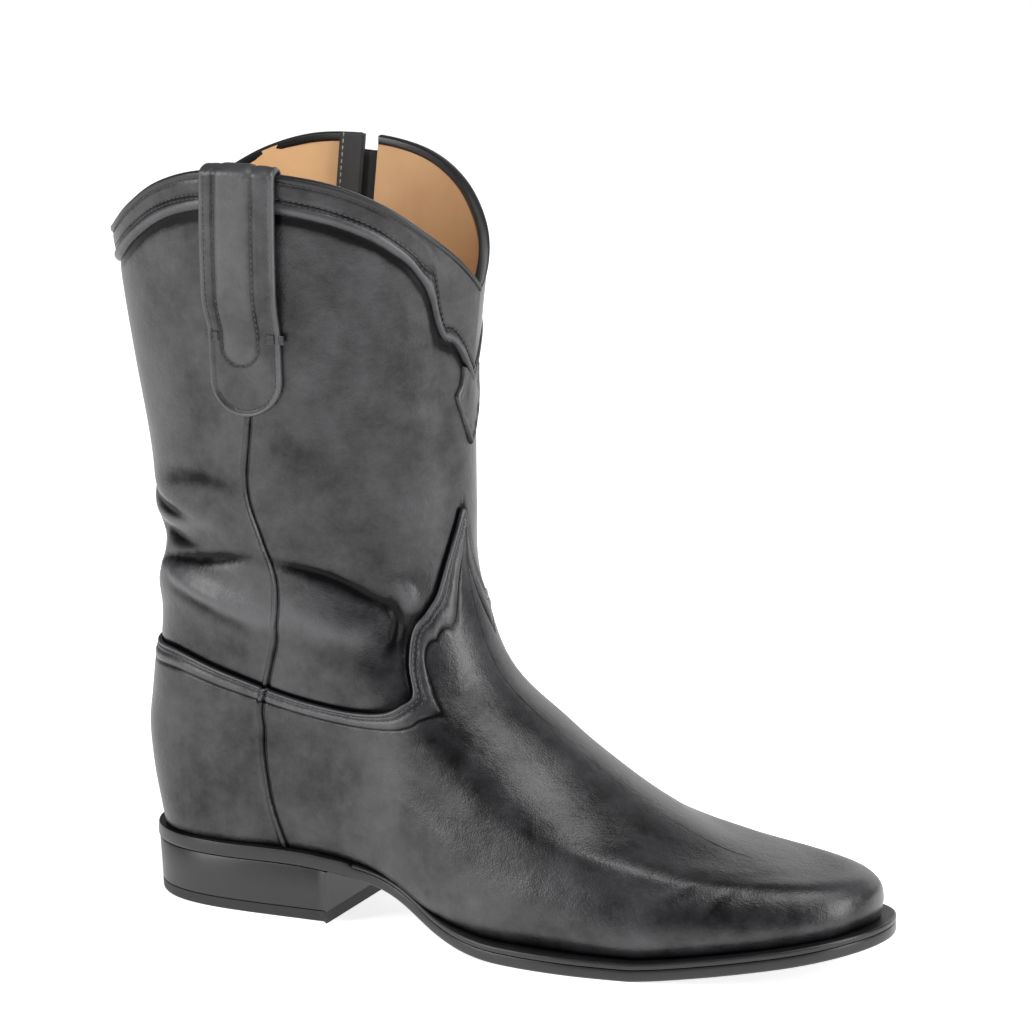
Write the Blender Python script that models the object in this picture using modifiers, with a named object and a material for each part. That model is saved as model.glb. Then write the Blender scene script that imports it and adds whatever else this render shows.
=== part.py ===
"""Roper boot for the right foot, standing empty on its sole.

Metres, X towards the toe, Y towards the inner (medial) side of the foot, Z up.
The origin is the middle of the heel's base, on the floor.
"""
import math

import bmesh
import bpy
import numpy as np
from mathutils import Matrix, Vector

# Driving sizes
SOLE_LENGTH = 0.302
BALL_WIDTH = 0.102
HEEL_WIDTH = 0.067
HEEL_LENGTH = 0.085
HEEL_HEIGHT = 0.0214
TOE_SPRING = 0.0132
INSTEP_RISE = 0.120
SHAFT_RISE = 0.144
SHAFT_WIDTH = 0.102
FRONT_DIP = 0.0453

# Thicknesses of the pieces
SEAT_THICKNESS = 0.0055
FORE_THICKNESS = 0.0070
WELT_THICKNESS = 0.0023
WELT_END_THICKNESS = 0.0012
WELT_SETBACK = 0.010
WELT_GROWTH = 0.060
CAP_THICKNESS = 0.0045
INSOLE_THICKNESS = 0.0025
WALL = 0.0022
OVERLAY = 0.0012
PIPING = 0.0012

# Clearances, margins and small widths
GAP = 0.0003
HEEL_MARGIN = 0.0005
HEEL_TAPER = 0.0012
EDGE_ROUND = 0.0007
SEAM_HALF = 0.0022
ZIP_SLOT_HALF = 0.0045
ZIP_TOP_GAP = 0.006
CHAIN_HALF = 0.0027
CHAIN_RISE = 0.0009
TAPE_THICKNESS = 0.0012
GUARD_WIDTH = 0.011
GUARD_THICKNESS = 0.0013
GUARD_TIP = 0.0008
STRAP_WIDTH = 0.0295
STRAP_THICKNESS = 0.0022
STRAP_STAND = 0.0032
STRAP_ARCH = 0.0013
STRAP_OUTER_LENGTH = 0.0925
STRAP_SEWN_LENGTH = 0.031
STRAP_INNER_LENGTH = 0.046

# Zip slider and its pull
SLIDER_WIDTH = 0.0078
SLIDER_LENGTH = 0.0125
SLIDER_THICKNESS = 0.0022
LUG_THICKNESS = 0.0010
LUG_LENGTH = 0.0032
PIN_HEIGHT = 0.0023
PIN_RADIUS = 0.0008
PIN_CLEARANCE = 0.00035
EYE_RADIUS = 0.0017
EYE_WIDTH = 0.0030
PULL_WIDTH = 0.0052
PULL_LENGTH = 0.024
PULL_THICKNESS = 0.0013

# Overlap of pieces that are joined into one solid
JOIN = 0.0002
NECK_REACH = 0.0012
NECK_JOIN = 0.0010

# Mesh fineness
FRONT_COLUMNS = 21
BACK_COLUMNS = 13
FOOT_ROWS = 12
SLOT_FIRST_ROW = 7
SHAFT_ROWS = 9
BAND_ROWS = 3
COLUMNS = 2 * (FRONT_COLUMNS + BACK_COLUMNS + 2)
ZIP_COLUMN = COLUMNS - (FRONT_COLUMNS + 1)
HEEL_COLUMNS = 28
ROD_SIDES = 16

BACK = -HEEL_LENGTH / 2
SEAT = HEEL_HEIGHT + SEAT_THICKNESS
WELT_START = BACK + HEEL_LENGTH + WELT_SETBACK

# Sole outline from its back end to its front end. The widths are shares of HEEL_WIDTH
# in the first four rows and of BALL_WIDTH in the others. End rows hold the end radius.
# station, lateral half width, medial half width
OUTLINE = np.array([
    (0.00, 0.500, 0.500),
    (0.06, 0.427, 0.427),
    (0.13, 0.498, 0.498),
    (0.25, 0.496, 0.484),
    (0.38, 0.338, 0.294),
    (0.50, 0.486, 0.358),
    (0.62, 0.533, 0.464),
    (0.74, 0.496, 0.490),
    (0.86, 0.410, 0.416),
    (0.95, 0.280, 0.275),
    (1.00, 0.284, 0.284),
])
OUTLINE_HEEL_ROWS = 4

# Stations between which the sole grows from its seat thickness to its forefoot thickness
THICKER_FROM = 0.30
THICKER_TO = 0.55

# Underside of the sole: station, share of HEEL_HEIGHT, share of TOE_SPRING
UNDERSIDE = np.array([
    (0.00, 1.000, 0.000),
    (0.12, 1.000, 0.000),
    (0.27, 0.977, 0.000),
    (0.36, 0.770, 0.000),
    (0.45, 0.234, 0.000),
    (0.52, 0.028, 0.000),
    (0.58, 0.000, 0.000),
    (0.72, 0.000, 0.000),
    (0.80, 0.000, 0.227),
    (0.90, 0.000, 0.590),
    (1.00, 0.000, 1.000),
])

# The upper is a stack of level rings, from the feather line (level 0) to the collar.
# Each ring runs from a back point to a front point. Their X is a share of SOLE_LENGTH from
# the sole's back, and their rise above the sole is a share of INSTEP_RISE. follow is how
# much of the sole's curve the ring keeps.
# back x, back rise, front x, front rise, follow
FOOT_RINGS = np.array([
    (0.013, 0.000, 0.978, 0.000, 1.00),
    (0.006, 0.076, 0.982, 0.057, 0.97),
    (-0.004, 0.192, 0.976, 0.113, 0.88),
    (-0.009, 0.325, 0.950, 0.148, 0.72),
    (-0.005, 0.442, 0.884, 0.166, 0.55),
    (-0.001, 0.542, 0.781, 0.215, 0.38),
    (0.005, 0.642, 0.678, 0.324, 0.22),
    (0.007, 0.742, 0.578, 0.471, 0.10),
    (0.004, 0.850, 0.483, 0.660, 0.03),
    (0.005, 1.000, 0.441, 0.946, 0.00),
])

# Fullness of the foot rings at seven shares of their length, for each side. The first
# three are shares of HEEL_WIDTH and the others of BALL_WIDTH.
KNOTS = np.array((0.0, 0.1, 0.3, 0.5, 0.7, 0.9, 1.0))
FOOT_HEEL_KNOTS = 3
FOOT_LATERAL = np.array([
    (1.045, 0.724, 0.473, 0.430, 0.498, 0.539, 0.618),
    (1.045, 0.731, 0.493, 0.448, 0.534, 0.569, 0.647),
    (1.015, 0.731, 0.504, 0.446, 0.525, 0.534, 0.559),
    (0.985, 0.724, 0.507, 0.426, 0.483, 0.488, 0.505),
    (0.925, 0.707, 0.507, 0.390, 0.469, 0.474, 0.425),
    (0.866, 0.687, 0.515, 0.358, 0.436, 0.441, 0.373),
    (0.806, 0.664, 0.522, 0.338, 0.392, 0.402, 0.363),
    (0.746, 0.642, 0.537, 0.338, 0.363, 0.373, 0.363),
    (0.701, 0.627, 0.552, 0.353, 0.355, 0.363, 0.373),
    (0.672, 0.619, 0.575, 0.373, 0.373, 0.377, 0.402),
])
FOOT_MEDIAL = np.array([
    (1.045, 0.724, 0.445, 0.302, 0.466, 0.539, 0.608),
    (1.045, 0.731, 0.470, 0.324, 0.500, 0.569, 0.637),
    (1.015, 0.731, 0.482, 0.326, 0.490, 0.534, 0.559),
    (0.985, 0.724, 0.490, 0.320, 0.449, 0.488, 0.505),
    (0.925, 0.707, 0.493, 0.314, 0.414, 0.460, 0.425),
    (0.866, 0.687, 0.500, 0.312, 0.373, 0.417, 0.373),
    (0.806, 0.664, 0.507, 0.314, 0.353, 0.382, 0.363),
    (0.746, 0.642, 0.522, 0.324, 0.345, 0.363, 0.363),
    (0.701, 0.627, 0.545, 0.343, 0.347, 0.358, 0.373),
    (0.672, 0.619, 0.575, 0.373, 0.373, 0.377, 0.402),
])

# Rings of the shaft, above the last foot ring, alike on both sides. Heights are shares of
# the way from that ring to the top, and the fullness is a share of SHAFT_WIDTH.
# back x, back height, front x, front height, then the seven knots
SHAFT_RINGS = np.array([
    (0.000, 0.175, 0.4355, 0.220, 0.441, 0.422, 0.407, 0.402, 0.397, 0.397, 0.412),
    (-0.013, 0.427, 0.4345, 0.463, 0.461, 0.451, 0.446, 0.441, 0.431, 0.422, 0.422),
    (-0.032, 0.720, 0.4370, 0.744, 0.490, 0.485, 0.485, 0.480, 0.466, 0.451, 0.441),
    (-0.050, 1.000, 0.4460, 1.000, 0.500, 0.500, 0.505, 0.500, 0.490, 0.475, 0.471),
])
THROAT = len(FOOT_RINGS) - 1
COLLAR = THROAT + len(SHAFT_RINGS)

# Drop of the collar's edge: degrees round from the front, share of FRONT_DIP
COLLAR_DROP = np.array([
    (0, 1.00),
    (15, 0.74),
    (30, 0.50),
    (45, 0.265),
    (60, 0.10),
    (75, 0.02),
    (90, 0.00),
    (105, 0.033),
    (120, 0.165),
    (135, 0.385),
    (150, 0.600),
    (180, 0.720),
])

# Side seam on the lateral side: level, degrees round from the front
SEAM = np.array([
    (0.0, 125.0),
    (2.0, 126.0),
    (4.0, 124.0),
    (5.5, 118.5),
    (7.0, 107.5),
    (8.0, 96.5),
    (8.8, 92.0),
    (9.3, 94.5),
    (9.9, 98.5),
    (10.8, 94.0),
    (13.0, 89.0),
])

# Line of the zip on the medial side, with the seam below it: level, degrees round
ZIP_LINE = np.array([
    (0.0, 125.0),
    (2.0, 125.5),
    (4.0, 120.5),
    (6.0, 111.0),
    (8.0, 101.0),
    (10.0, 94.0),
    (13.0, 85.0),
])

# Top line of the vamp and counter: degrees round, positive on the lateral side, level
VAMP_LINE = np.array([
    (-180, 5.65),
    (-163, 5.72),
    (-148, 5.92),
    (-126, 5.88),
    (-107, 5.90),
    (-95, 6.15),
    (-80, 6.60),
    (-66, 7.05),
    (-50, 7.60),
    (-36, 8.20),
    (-22, 8.75),
    (-8, 9.20),
    (8, 10.05),
    (17, 9.65),
    (25, 9.30),
    (35, 8.88),
    (45, 8.45),
    (55, 7.75),
    (69, 7.15),
    (80, 6.65),
    (95, 6.15),
    (107, 5.90),
    (126, 5.88),
    (148, 5.92),
    (163, 5.72),
    (180, 5.65),
])

# Lower edge of the collar band, alike on both sides: degrees round from the front, level
BAND_LINE = np.array([
    (0, 12.10),
    (14, 12.03),
    (22, 12.06),
    (28, 12.35),
    (36, 12.53),
    (60, 12.60),
    (180, 12.62),
])

# Levels over which the leather steps down from an overlay to what it covers
STEP_LEVELS = 0.06

# Folds of the leather: depth in, negative for a ridge, half width, then the angle and level
# of the fold's start, middle and end
FOLDS = [
    (0.0042, 0.0085, 205, 8.10, 180, 8.55, 150, 8.45),
    (0.0022, 0.0075, 170, 8.75, 130, 9.10, 96, 8.95),
    (-0.0016, 0.0090, 176, 9.35, 140, 9.75, 112, 9.90),
    (-0.0018, 0.0080, 165, 7.55, 130, 8.00, 105, 7.70),
    (0.0020, 0.0090, 92, 8.95, 70, 9.00, 44, 8.20),
]


def hermite(stations, values, at):
    """Smooth curve through the values at the stations, held level past both ends."""
    stations = np.asarray(stations, float)
    at = np.clip(np.asarray(at, float), stations[0], stations[-1])
    values = np.broadcast_to(np.asarray(values, float), at.shape + stations.shape)
    gaps = np.diff(stations)
    rates = np.diff(values, axis=-1) / gaps
    slopes = np.empty(values.shape)
    slopes[..., 0] = rates[..., 0]
    slopes[..., -1] = rates[..., -1]
    weighed = rates[..., :-1] * gaps[1:] + rates[..., 1:] * gaps[:-1]
    slopes[..., 1:-1] = weighed / (gaps[1:] + gaps[:-1])
    low = np.clip(np.searchsorted(stations, at, side="right") - 1, 0, len(gaps) - 1)

    def pick(table, index):
        return np.take_along_axis(table, index[..., None], -1)[..., 0]

    u = (at - stations[low]) / gaps[low]
    rise = pick(values, low + 1) - pick(values, low)
    ease = u * u * (3 - 2 * u)
    leave = u * (1 - u) ** 2 * pick(slopes, low)
    arrive = u * u * (u - 1) * pick(slopes, low + 1)
    return pick(values, low) + rise * ease + gaps[low] * (leave + arrive)


def smooth_step(start, end, at):
    """Eased rise from 0 at the start to 1 at the end."""
    u = np.clip((np.asarray(at, float) - start) / (end - start), 0, 1)
    return u * u * (3 - 2 * u)


def sole_station(x):
    """Share of the sole's length, from its back."""
    return (np.asarray(x, float) - BACK) / SOLE_LENGTH


def sole_under(x):
    """Underside of the sole, over the floor."""
    station = sole_station(x)
    heel = hermite(UNDERSIDE[:, 0], UNDERSIDE[:, 1], station)
    toe = hermite(UNDERSIDE[:, 0], UNDERSIDE[:, 2], station)
    return np.maximum(heel * HEEL_HEIGHT + toe * TOE_SPRING, 0)


def sole_top(x):
    """Upper face of the sole's edge, which is the welt's top from the waist forward."""
    thicker = smooth_step(THICKER_FROM, THICKER_TO, sole_station(x))
    return sole_under(x) + SEAT_THICKNESS + (FORE_THICKNESS - SEAT_THICKNESS) * thicker


def sole_outline(angle, inset=0.0):
    """Plan point of the sole's edge at an angle round it, moved in by inset."""
    share = (1 + np.cos(angle)) / 2
    stations = OUTLINE[:, 0]
    widths = np.where(np.arange(len(OUTLINE)) < OUTLINE_HEEL_ROWS, HEEL_WIDTH, BALL_WIDTH)
    span = 2 * np.sqrt(stations * (1 - stations))
    fullness = []
    for side in (1, 2):
        half = OUTLINE[:, side] * widths
        ends = np.sqrt(half * SOLE_LENGTH / 2)
        fullness.append(np.where(span > 0, half / np.where(span > 0, span, 1), ends))
    lateral = hermite(stations, fullness[0], share)
    medial = hermite(stations, fullness[1], share)
    side = np.where(np.sin(angle) >= 0, lateral, medial)
    points = np.stack([BACK + SOLE_LENGTH * share, -side * np.sin(angle)], -1)
    return inset_plan(points, inset)


def inset_plan(points, inset):
    """Moves a closed plan outline in by a width, along its own normals."""
    ahead = np.roll(points, -1, axis=0) - np.roll(points, 1, axis=0)
    length = np.linalg.norm(ahead, axis=1, keepdims=True)
    normal = np.stack([ahead[:, 1], -ahead[:, 0]], -1) / length
    outward = points - points.mean(axis=0)
    if (normal * outward).sum() < 0:
        normal = -normal
    return points - normal * np.asarray(inset, float).reshape(-1, 1)


def ring_tables():
    """Back x, back z, front x, front z and follow of every ring, and its fullness."""
    toe_x = BACK + SOLE_LENGTH * FOOT_RINGS[0, 2]
    toe = float(sole_top(toe_x))
    foot = FOOT_RINGS
    ends = np.empty((COLLAR + 1, 5))
    ends[:THROAT + 1, 0] = BACK + SOLE_LENGTH * foot[:, 0]
    ends[:THROAT + 1, 1] = SEAT + INSTEP_RISE * foot[:, 1]
    ends[:THROAT + 1, 2] = BACK + SOLE_LENGTH * foot[:, 2]
    ends[:THROAT + 1, 3] = toe + INSTEP_RISE * foot[:, 3]
    ends[:THROAT + 1, 4] = foot[:, 4]
    top = SEAT + INSTEP_RISE + SHAFT_RISE
    shaft = SHAFT_RINGS
    ends[THROAT + 1:, 0] = BACK + SOLE_LENGTH * shaft[:, 0]
    ends[THROAT + 1:, 1] = ends[THROAT, 1] + (top - ends[THROAT, 1]) * shaft[:, 1]
    ends[THROAT + 1:, 2] = BACK + SOLE_LENGTH * shaft[:, 2]
    ends[THROAT + 1:, 3] = ends[THROAT, 3] + (top - ends[THROAT, 3]) * shaft[:, 3]
    ends[THROAT + 1:, 4] = 0
    widths = np.where(np.arange(len(KNOTS)) < FOOT_HEEL_KNOTS, HEEL_WIDTH, BALL_WIDTH)
    above = shaft[:, 4:] * SHAFT_WIDTH
    lateral = np.vstack([FOOT_LATERAL * widths, above])
    medial = np.vstack([FOOT_MEDIAL * widths, above])
    return ends, lateral, medial


ENDS, LATERAL, MEDIAL = ring_tables()
LEVELS = np.arange(COLLAR + 1)


def form_point(angle, level):
    """Point of the boot's outer form. Angle 0 is the front, positive on the lateral side."""
    angle, level = np.broadcast_arrays(np.asarray(angle, float), np.asarray(level, float))
    share = (1 + np.cos(angle)) / 2
    back_x, back_z, front_x, front_z, follow = (hermite(LEVELS, ENDS[:, k], level) for k in range(5))
    x = back_x + (front_x - back_x) * share
    chord = ENDS[0, 1] + (ENDS[0, 3] - ENDS[0, 1]) * share
    z = back_z + (front_z - back_z) * share + follow * (sole_top(x) - chord)
    turn = np.degrees(np.abs(np.arctan2(np.sin(angle), np.cos(angle))))
    drop = hermite(COLLAR_DROP[:, 0], COLLAR_DROP[:, 1], turn) * FRONT_DIP
    up = np.clip((level - THROAT) / (COLLAR - THROAT), 0, 1)
    z = z - drop * (up + smooth_step(0, 1, up)) / 2
    lateral = np.stack([hermite(LEVELS, LATERAL[:, k], level) for k in range(len(KNOTS))], -1)
    medial = np.stack([hermite(LEVELS, MEDIAL[:, k], level) for k in range(len(KNOTS))], -1)
    fullness = np.where((np.sin(angle) >= 0)[..., None], lateral, medial)
    y = -hermite(KNOTS, fullness, share) * np.sin(angle)
    return np.stack([x, y, z], -1)


def form_normal(angle, level):
    """Outward normal of the form."""
    step = 1e-3
    level = np.asarray(level, float)
    low = np.clip(level - step, 0, COLLAR)
    high = np.clip(level + step, 0, COLLAR)
    round_it = form_point(angle + step, level) - form_point(angle - step, level)
    up = form_point(angle, high) - form_point(angle, low)
    normal = np.cross(up, round_it)
    return normal / np.linalg.norm(normal, axis=-1, keepdims=True)


def fold_depth(points):
    """How far the folds push the leather in at each point, negative on a ridge."""
    depth = np.zeros(points.shape[:-1])
    for deep, half_width, *stops in FOLDS:
        ends = np.array(stops, float).reshape(3, 2)
        along = np.linspace(0, 2, 25)
        angle = hermite((0, 1, 2), np.radians(ends[:, 0]), along)
        line = form_point(angle, hermite((0, 1, 2), ends[:, 1], along))
        away = np.linalg.norm(points[..., None, :] - line, axis=-1)
        nearest = away.argmin(axis=-1)
        taper = np.sin(np.pi * (nearest + 1) / (len(along) + 1))
        depth += deep * taper * np.exp(-(away.min(axis=-1) / half_width) ** 2)
    return depth


def leather_point(angle, level, lift=0.0):
    """Point of the folded leather, lifted off the outer form by a height."""
    points = form_point(angle, level)
    height = np.asarray(lift, float) - fold_depth(points)
    return points + form_normal(angle, level) * height[..., None]


def line_angle(table, level):
    """Angle of a seam's line at a level."""
    return np.radians(hermite(table[:, 0], table[:, 1], level))


def angle_per_length(angle, level):
    """Angle that one metre round the form takes."""
    step = 1e-3
    move = form_point(angle + step, level) - form_point(angle - step, level)
    return 2 * step / np.linalg.norm(move, axis=-1)


def slot_half(level):
    """Half the width between the columns beside a seam: the seam's own, then the zip's."""
    return SEAM_HALF + (ZIP_SLOT_HALF - SEAM_HALF) * smooth_step(1.0, 2.6, level)


def side_columns(level, table, half_width):
    """Angles from the front to the back of one side, with three columns at its seam."""
    seam = line_angle(table, level)
    beside = half_width * angle_per_length(seam, level)
    u = np.arange(FRONT_COLUMNS + 1) / FRONT_COLUMNS
    front = (seam - beside)[..., None] * (0.7 * u + 0.3 * u * u)
    v = np.arange(BACK_COLUMNS + 1) / BACK_COLUMNS
    after = (seam + beside)[..., None]
    back = after + (math.pi - after) * (1.15 * v - 0.15 * v * v)
    return np.concatenate([front, seam[..., None], back], -1)


def turn_line(table, angle, mirrored):
    """Level of a line that runs round the boot, at an angle."""
    turn = np.degrees(np.arctan2(np.sin(angle), np.cos(angle)))
    return hermite(table[:, 0], table[:, 1], np.abs(turn) if mirrored else turn)


def upper_grid():
    """Angles, levels and lifts of the upper's outer face, a row for each ring of points."""
    side = FRONT_COLUMNS + BACK_COLUMNS + 3
    zones = [np.linspace(0, 1, FOOT_ROWS + 1), 1 + np.linspace(0, 1, SHAFT_ROWS + 1),
             2 + np.linspace(0, 1, BAND_ROWS + 1)]
    rows = np.concatenate(zones)
    level = np.repeat(rows[:, None] * COLLAR / 3, 2 * side - 2, axis=1)
    for _ in range(6):
        lateral = np.empty((len(rows), side))
        medial = np.empty((len(rows), side))
        for j in range(side):
            lateral[:, j] = side_columns(level[:, j], SEAM, SEAM_HALF)[:, j]
            k = (2 * side - 2 - j) % (2 * side - 2)
            medial[:, j] = side_columns(level[:, k], ZIP_LINE, slot_half(level[:, k]))[:, j]
        angle = np.concatenate([lateral, -medial[:, -2:0:-1]], axis=1)
        vamp = turn_line(VAMP_LINE, angle, False)
        band = turn_line(BAND_LINE, angle, True)
        part = rows[:, None]
        foot = vamp * np.clip(part, 0, 1)
        inside = band - vamp - 2 * STEP_LEVELS
        shaft = vamp + STEP_LEVELS + inside * np.clip(part - 1, 0, 1)
        top = band + (COLLAR - band) * np.clip(part - 2, 0, 1)
        zone = np.repeat([0, 1, 2], [len(z) for z in zones])[:, None]
        level = np.where(zone == 0, foot, np.where(zone == 1, shaft, top))
    lift = np.where(zone == 1, -OVERLAY / 2, OVERLAY / 2) + np.zeros_like(level)
    under_strap = level_below_collar(STRAP_OUTER_LENGTH) - 0.1
    for column in (FRONT_COLUMNS + 1, ZIP_COLUMN):
        lift[:, column] += PIPING * (1 - smooth_step(under_strap - 0.1, under_strap, level[:, column]))
    return angle, level, lift


def level_below_collar(depth, table=SEAM):
    """Level on a seam's line at a depth below the collar's edge."""
    levels = np.linspace(THROAT, COLLAR, 61)
    side = -1 if table is ZIP_LINE else 1
    height = form_point(side * line_angle(table, levels), levels)[:, 2]
    return float(np.interp(height[-1] - depth, height, levels))


def new_material(name, colour, roughness, metallic=0.0):
    material = bpy.data.materials.new(name)
    material.use_nodes = True
    shader = material.node_tree.nodes["Principled BSDF"]
    shader.inputs["Base Color"].default_value = (*colour, 1.0)
    shader.inputs["Roughness"].default_value = roughness
    shader.inputs["Metallic"].default_value = metallic
    return material


def add_object(name, mesh_data, material, collection, closed=True):
    """An object from a bmesh. The faces of a closed one are turned out."""
    if closed:
        bmesh.ops.recalc_face_normals(mesh_data, faces=mesh_data.faces)
    mesh = bpy.data.meshes.new(name)
    mesh_data.to_mesh(mesh)
    mesh_data.free()
    mesh.materials.append(material)
    mesh.shade_smooth()
    mesh.set_sharp_from_angle(angle=math.radians(40))
    thing = bpy.data.objects.new(name, mesh)
    collection.objects.link(thing)
    return thing


def put_grid(mesh_data, points, closed, skip=None):
    """Quads over a grid of points. closed joins the last column to the first."""
    rows, columns = points.shape[:2]
    verts = [[mesh_data.verts.new(tuple(p)) for p in row] for row in points]
    for r in range(rows - 1):
        for c in range(columns if closed else columns - 1):
            if skip and skip(r, c):
                continue
            d = (c + 1) % columns
            mesh_data.faces.new((verts[r][c], verts[r + 1][c], verts[r + 1][d], verts[r][d]))
    return verts


def put_strips(mesh_data, ring):
    """Fills a ring whose points mirror each other across the first one, in strips."""
    count = len(ring)
    for k in range(1, (count + 1) // 2):
        left, right = ring[k], ring[count - k]
        before_left, before_right = ring[k - 1], ring[(count - k + 1) % count]
        if before_left is before_right:
            mesh_data.faces.new((before_left, left, right))
        else:
            mesh_data.faces.new((before_left, left, right, before_right))
    if count % 2 == 0:
        middle = count // 2
        mesh_data.faces.new((ring[middle - 1], ring[middle], ring[middle + 1]))


def put_halves(mesh_data, ring):
    """Fills a ring whose two ends mirror each other, from the first pair on."""
    count = len(ring)
    for k in range(count // 2 - 1):
        mesh_data.faces.new((ring[k], ring[k + 1], ring[count - 2 - k], ring[count - 1 - k]))


def solidify(thing, thickness, offset):
    wall = thing.modifiers.new("wall", "SOLIDIFY")
    wall.thickness = thickness
    wall.offset = offset
    wall.use_rim = True
    wall.use_even_offset = False
    return wall


def plan_height(plan, height):
    """Plan points raised to a height that depends on their x."""
    return np.concatenate([plan, height(plan[:, 0])[:, None]], axis=1)


def feather_ring():
    """Angles of the upper's bottom ring and its plan points."""
    angle, level, lift = upper_grid()
    points = leather_point(angle[0], level[0], lift[0])
    return angle[0], points[:, :2]


def welt_reach(x):
    """1 where the welt lies on the outsole, 0 behind its ends."""
    return (np.asarray(x, float) > WELT_START).astype(float)


def welt_depth(x):
    """Thickness of the welt, which thins towards its ends."""
    grow = smooth_step(WELT_START, WELT_START + WELT_GROWTH, x)
    return WELT_END_THICKNESS + (WELT_THICKNESS - WELT_END_THICKNESS) * grow


def outsole_top(x):
    """Upper face of the outsole, lower where the welt lies on it."""
    return sole_top(x) - welt_reach(x) * (welt_depth(x) + GAP)


def make_outsole(collection, material):
    """The sole's bottom layer, its lower edge eased."""
    angle, feather = feather_ring()
    edge = sole_outline(angle)
    lowered = sole_outline(angle, EDGE_ROUND)
    inner = inset_plan(feather, WALL)
    rings = np.stack([
        plan_height(lowered, sole_under),
        plan_height(edge, lambda x: sole_under(x) + EDGE_ROUND),
        plan_height(edge, outsole_top),
        plan_height(feather, outsole_top),
        plan_height(inner, outsole_top),
    ])
    mesh_data = bmesh.new()
    verts = put_grid(mesh_data, rings, closed=True)
    put_strips(mesh_data, verts[0])
    put_strips(mesh_data, verts[-1])
    return add_object("outsole", mesh_data, material, collection)


def make_welt(collection, material):
    """The strip round the forefoot, from waist to waist, under the upper's edge."""
    angle, feather = feather_ring()
    edge = sole_outline(angle)
    inner = inset_plan(feather, WALL)
    count = len(angle)
    keep = [k for k in range(-count // 2, count // 2) if min(edge[k][0], inner[k][0]) > WELT_START]

    def low(x):
        return sole_top(x) - welt_depth(x)

    sections = np.stack([plan_height(edge, low), plan_height(edge, sole_top),
                         plan_height(inner, sole_top), plan_height(inner, low)], axis=1)[keep]
    mesh_data = bmesh.new()
    verts = put_grid(mesh_data, sections, closed=True)
    mesh_data.faces.new(verts[0])
    mesh_data.faces.new(verts[-1])
    return add_object("welt", mesh_data, material, collection)


def heel_angles():
    """Angles round the heel, from one end of the breast to the other."""
    breast = math.acos(2 * HEEL_LENGTH / SOLE_LENGTH - 1)
    return np.linspace(breast, 2 * math.pi - breast, HEEL_COLUMNS)


def heel_ring(inset):
    """Plan of the heel, its breast left straight across."""
    angle = heel_angles()
    edge = sole_outline(angle)
    whole = np.vstack([edge, [(edge[0][0], 0.0)]])
    ring = inset_plan(whole, inset)[:-1]
    ring[0, 0] = edge[0][0]
    ring[-1, 0] = edge[-1][0]
    return ring


def make_heel(collection, block_material, cap_material):
    """The heel's block and the cap under it, tapering slightly to the floor."""
    height = HEEL_HEIGHT

    def inset_at(z):
        return HEEL_MARGIN + HEEL_TAPER * (1 - z / height)

    cap_top = CAP_THICKNESS
    low = cap_top + GAP
    block = np.stack([
        plan_height(heel_ring(inset_at(low)), lambda x: np.full_like(x, low)),
        plan_height(heel_ring(inset_at(height)), lambda x: sole_under(x) - GAP),
    ])
    cap = np.stack([
        plan_height(heel_ring(inset_at(0) + EDGE_ROUND), lambda x: np.zeros_like(x)),
        plan_height(heel_ring(inset_at(0)), lambda x: np.full_like(x, EDGE_ROUND)),
        plan_height(heel_ring(inset_at(cap_top)), lambda x: np.full_like(x, cap_top)),
    ])
    for name, rings, material in (("heel_block", block, block_material), ("heel_cap", cap, cap_material)):
        mesh_data = bmesh.new()
        verts = put_grid(mesh_data, rings, closed=True)
        put_halves(mesh_data, verts[0])
        put_halves(mesh_data, verts[-1])
        add_object(name, mesh_data, material, collection)


def make_insole(collection, material):
    """The insole inside the wall, down to the outsole."""
    angle, feather = feather_ring()
    plan = inset_plan(feather, WALL + GAP)
    rings = np.stack([
        plan_height(plan, lambda x: outsole_top(x) + GAP),
        plan_height(plan, lambda x: sole_top(x) + INSOLE_THICKNESS),
    ])
    mesh_data = bmesh.new()
    verts = put_grid(mesh_data, rings, closed=True)
    put_strips(mesh_data, verts[0])
    put_strips(mesh_data, verts[-1])
    return add_object("insole", mesh_data, material, collection)


def make_upper(collection, material):
    """The hollow upper: one wall, open at the collar, underneath and at the zip's slot."""
    angle, level, lift = upper_grid()
    points = leather_point(angle, level, lift)
    bottom = points[0]
    bottom[:, 2] = sole_top(bottom[:, 0]) + GAP

    def skip(r, c):
        return c in (ZIP_COLUMN - 1, ZIP_COLUMN) and r >= SLOT_FIRST_ROW

    mesh_data = bmesh.new()
    put_grid(mesh_data, points, closed=True, skip=skip)
    for vert in [v for v in mesh_data.verts if not v.link_faces]:
        mesh_data.verts.remove(vert)
    upper = add_object("upper", mesh_data, material, collection, closed=False)
    solidify(upper, WALL, -1)
    return upper


def across_line(table, level, across, side=1):
    """Angle at a distance across a seam's line, measured towards the back of the boot."""
    seam = line_angle(table, level)
    return side * (seam + across * angle_per_length(seam, level))


def above_collar(angle, lift, rise):
    """Point straight above the collar's edge."""
    edge = leather_point(angle, COLLAR, lift)
    up = edge - leather_point(angle, COLLAR - 0.05, lift)
    return edge + up / np.linalg.norm(up, axis=-1, keepdims=True) * rise


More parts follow.
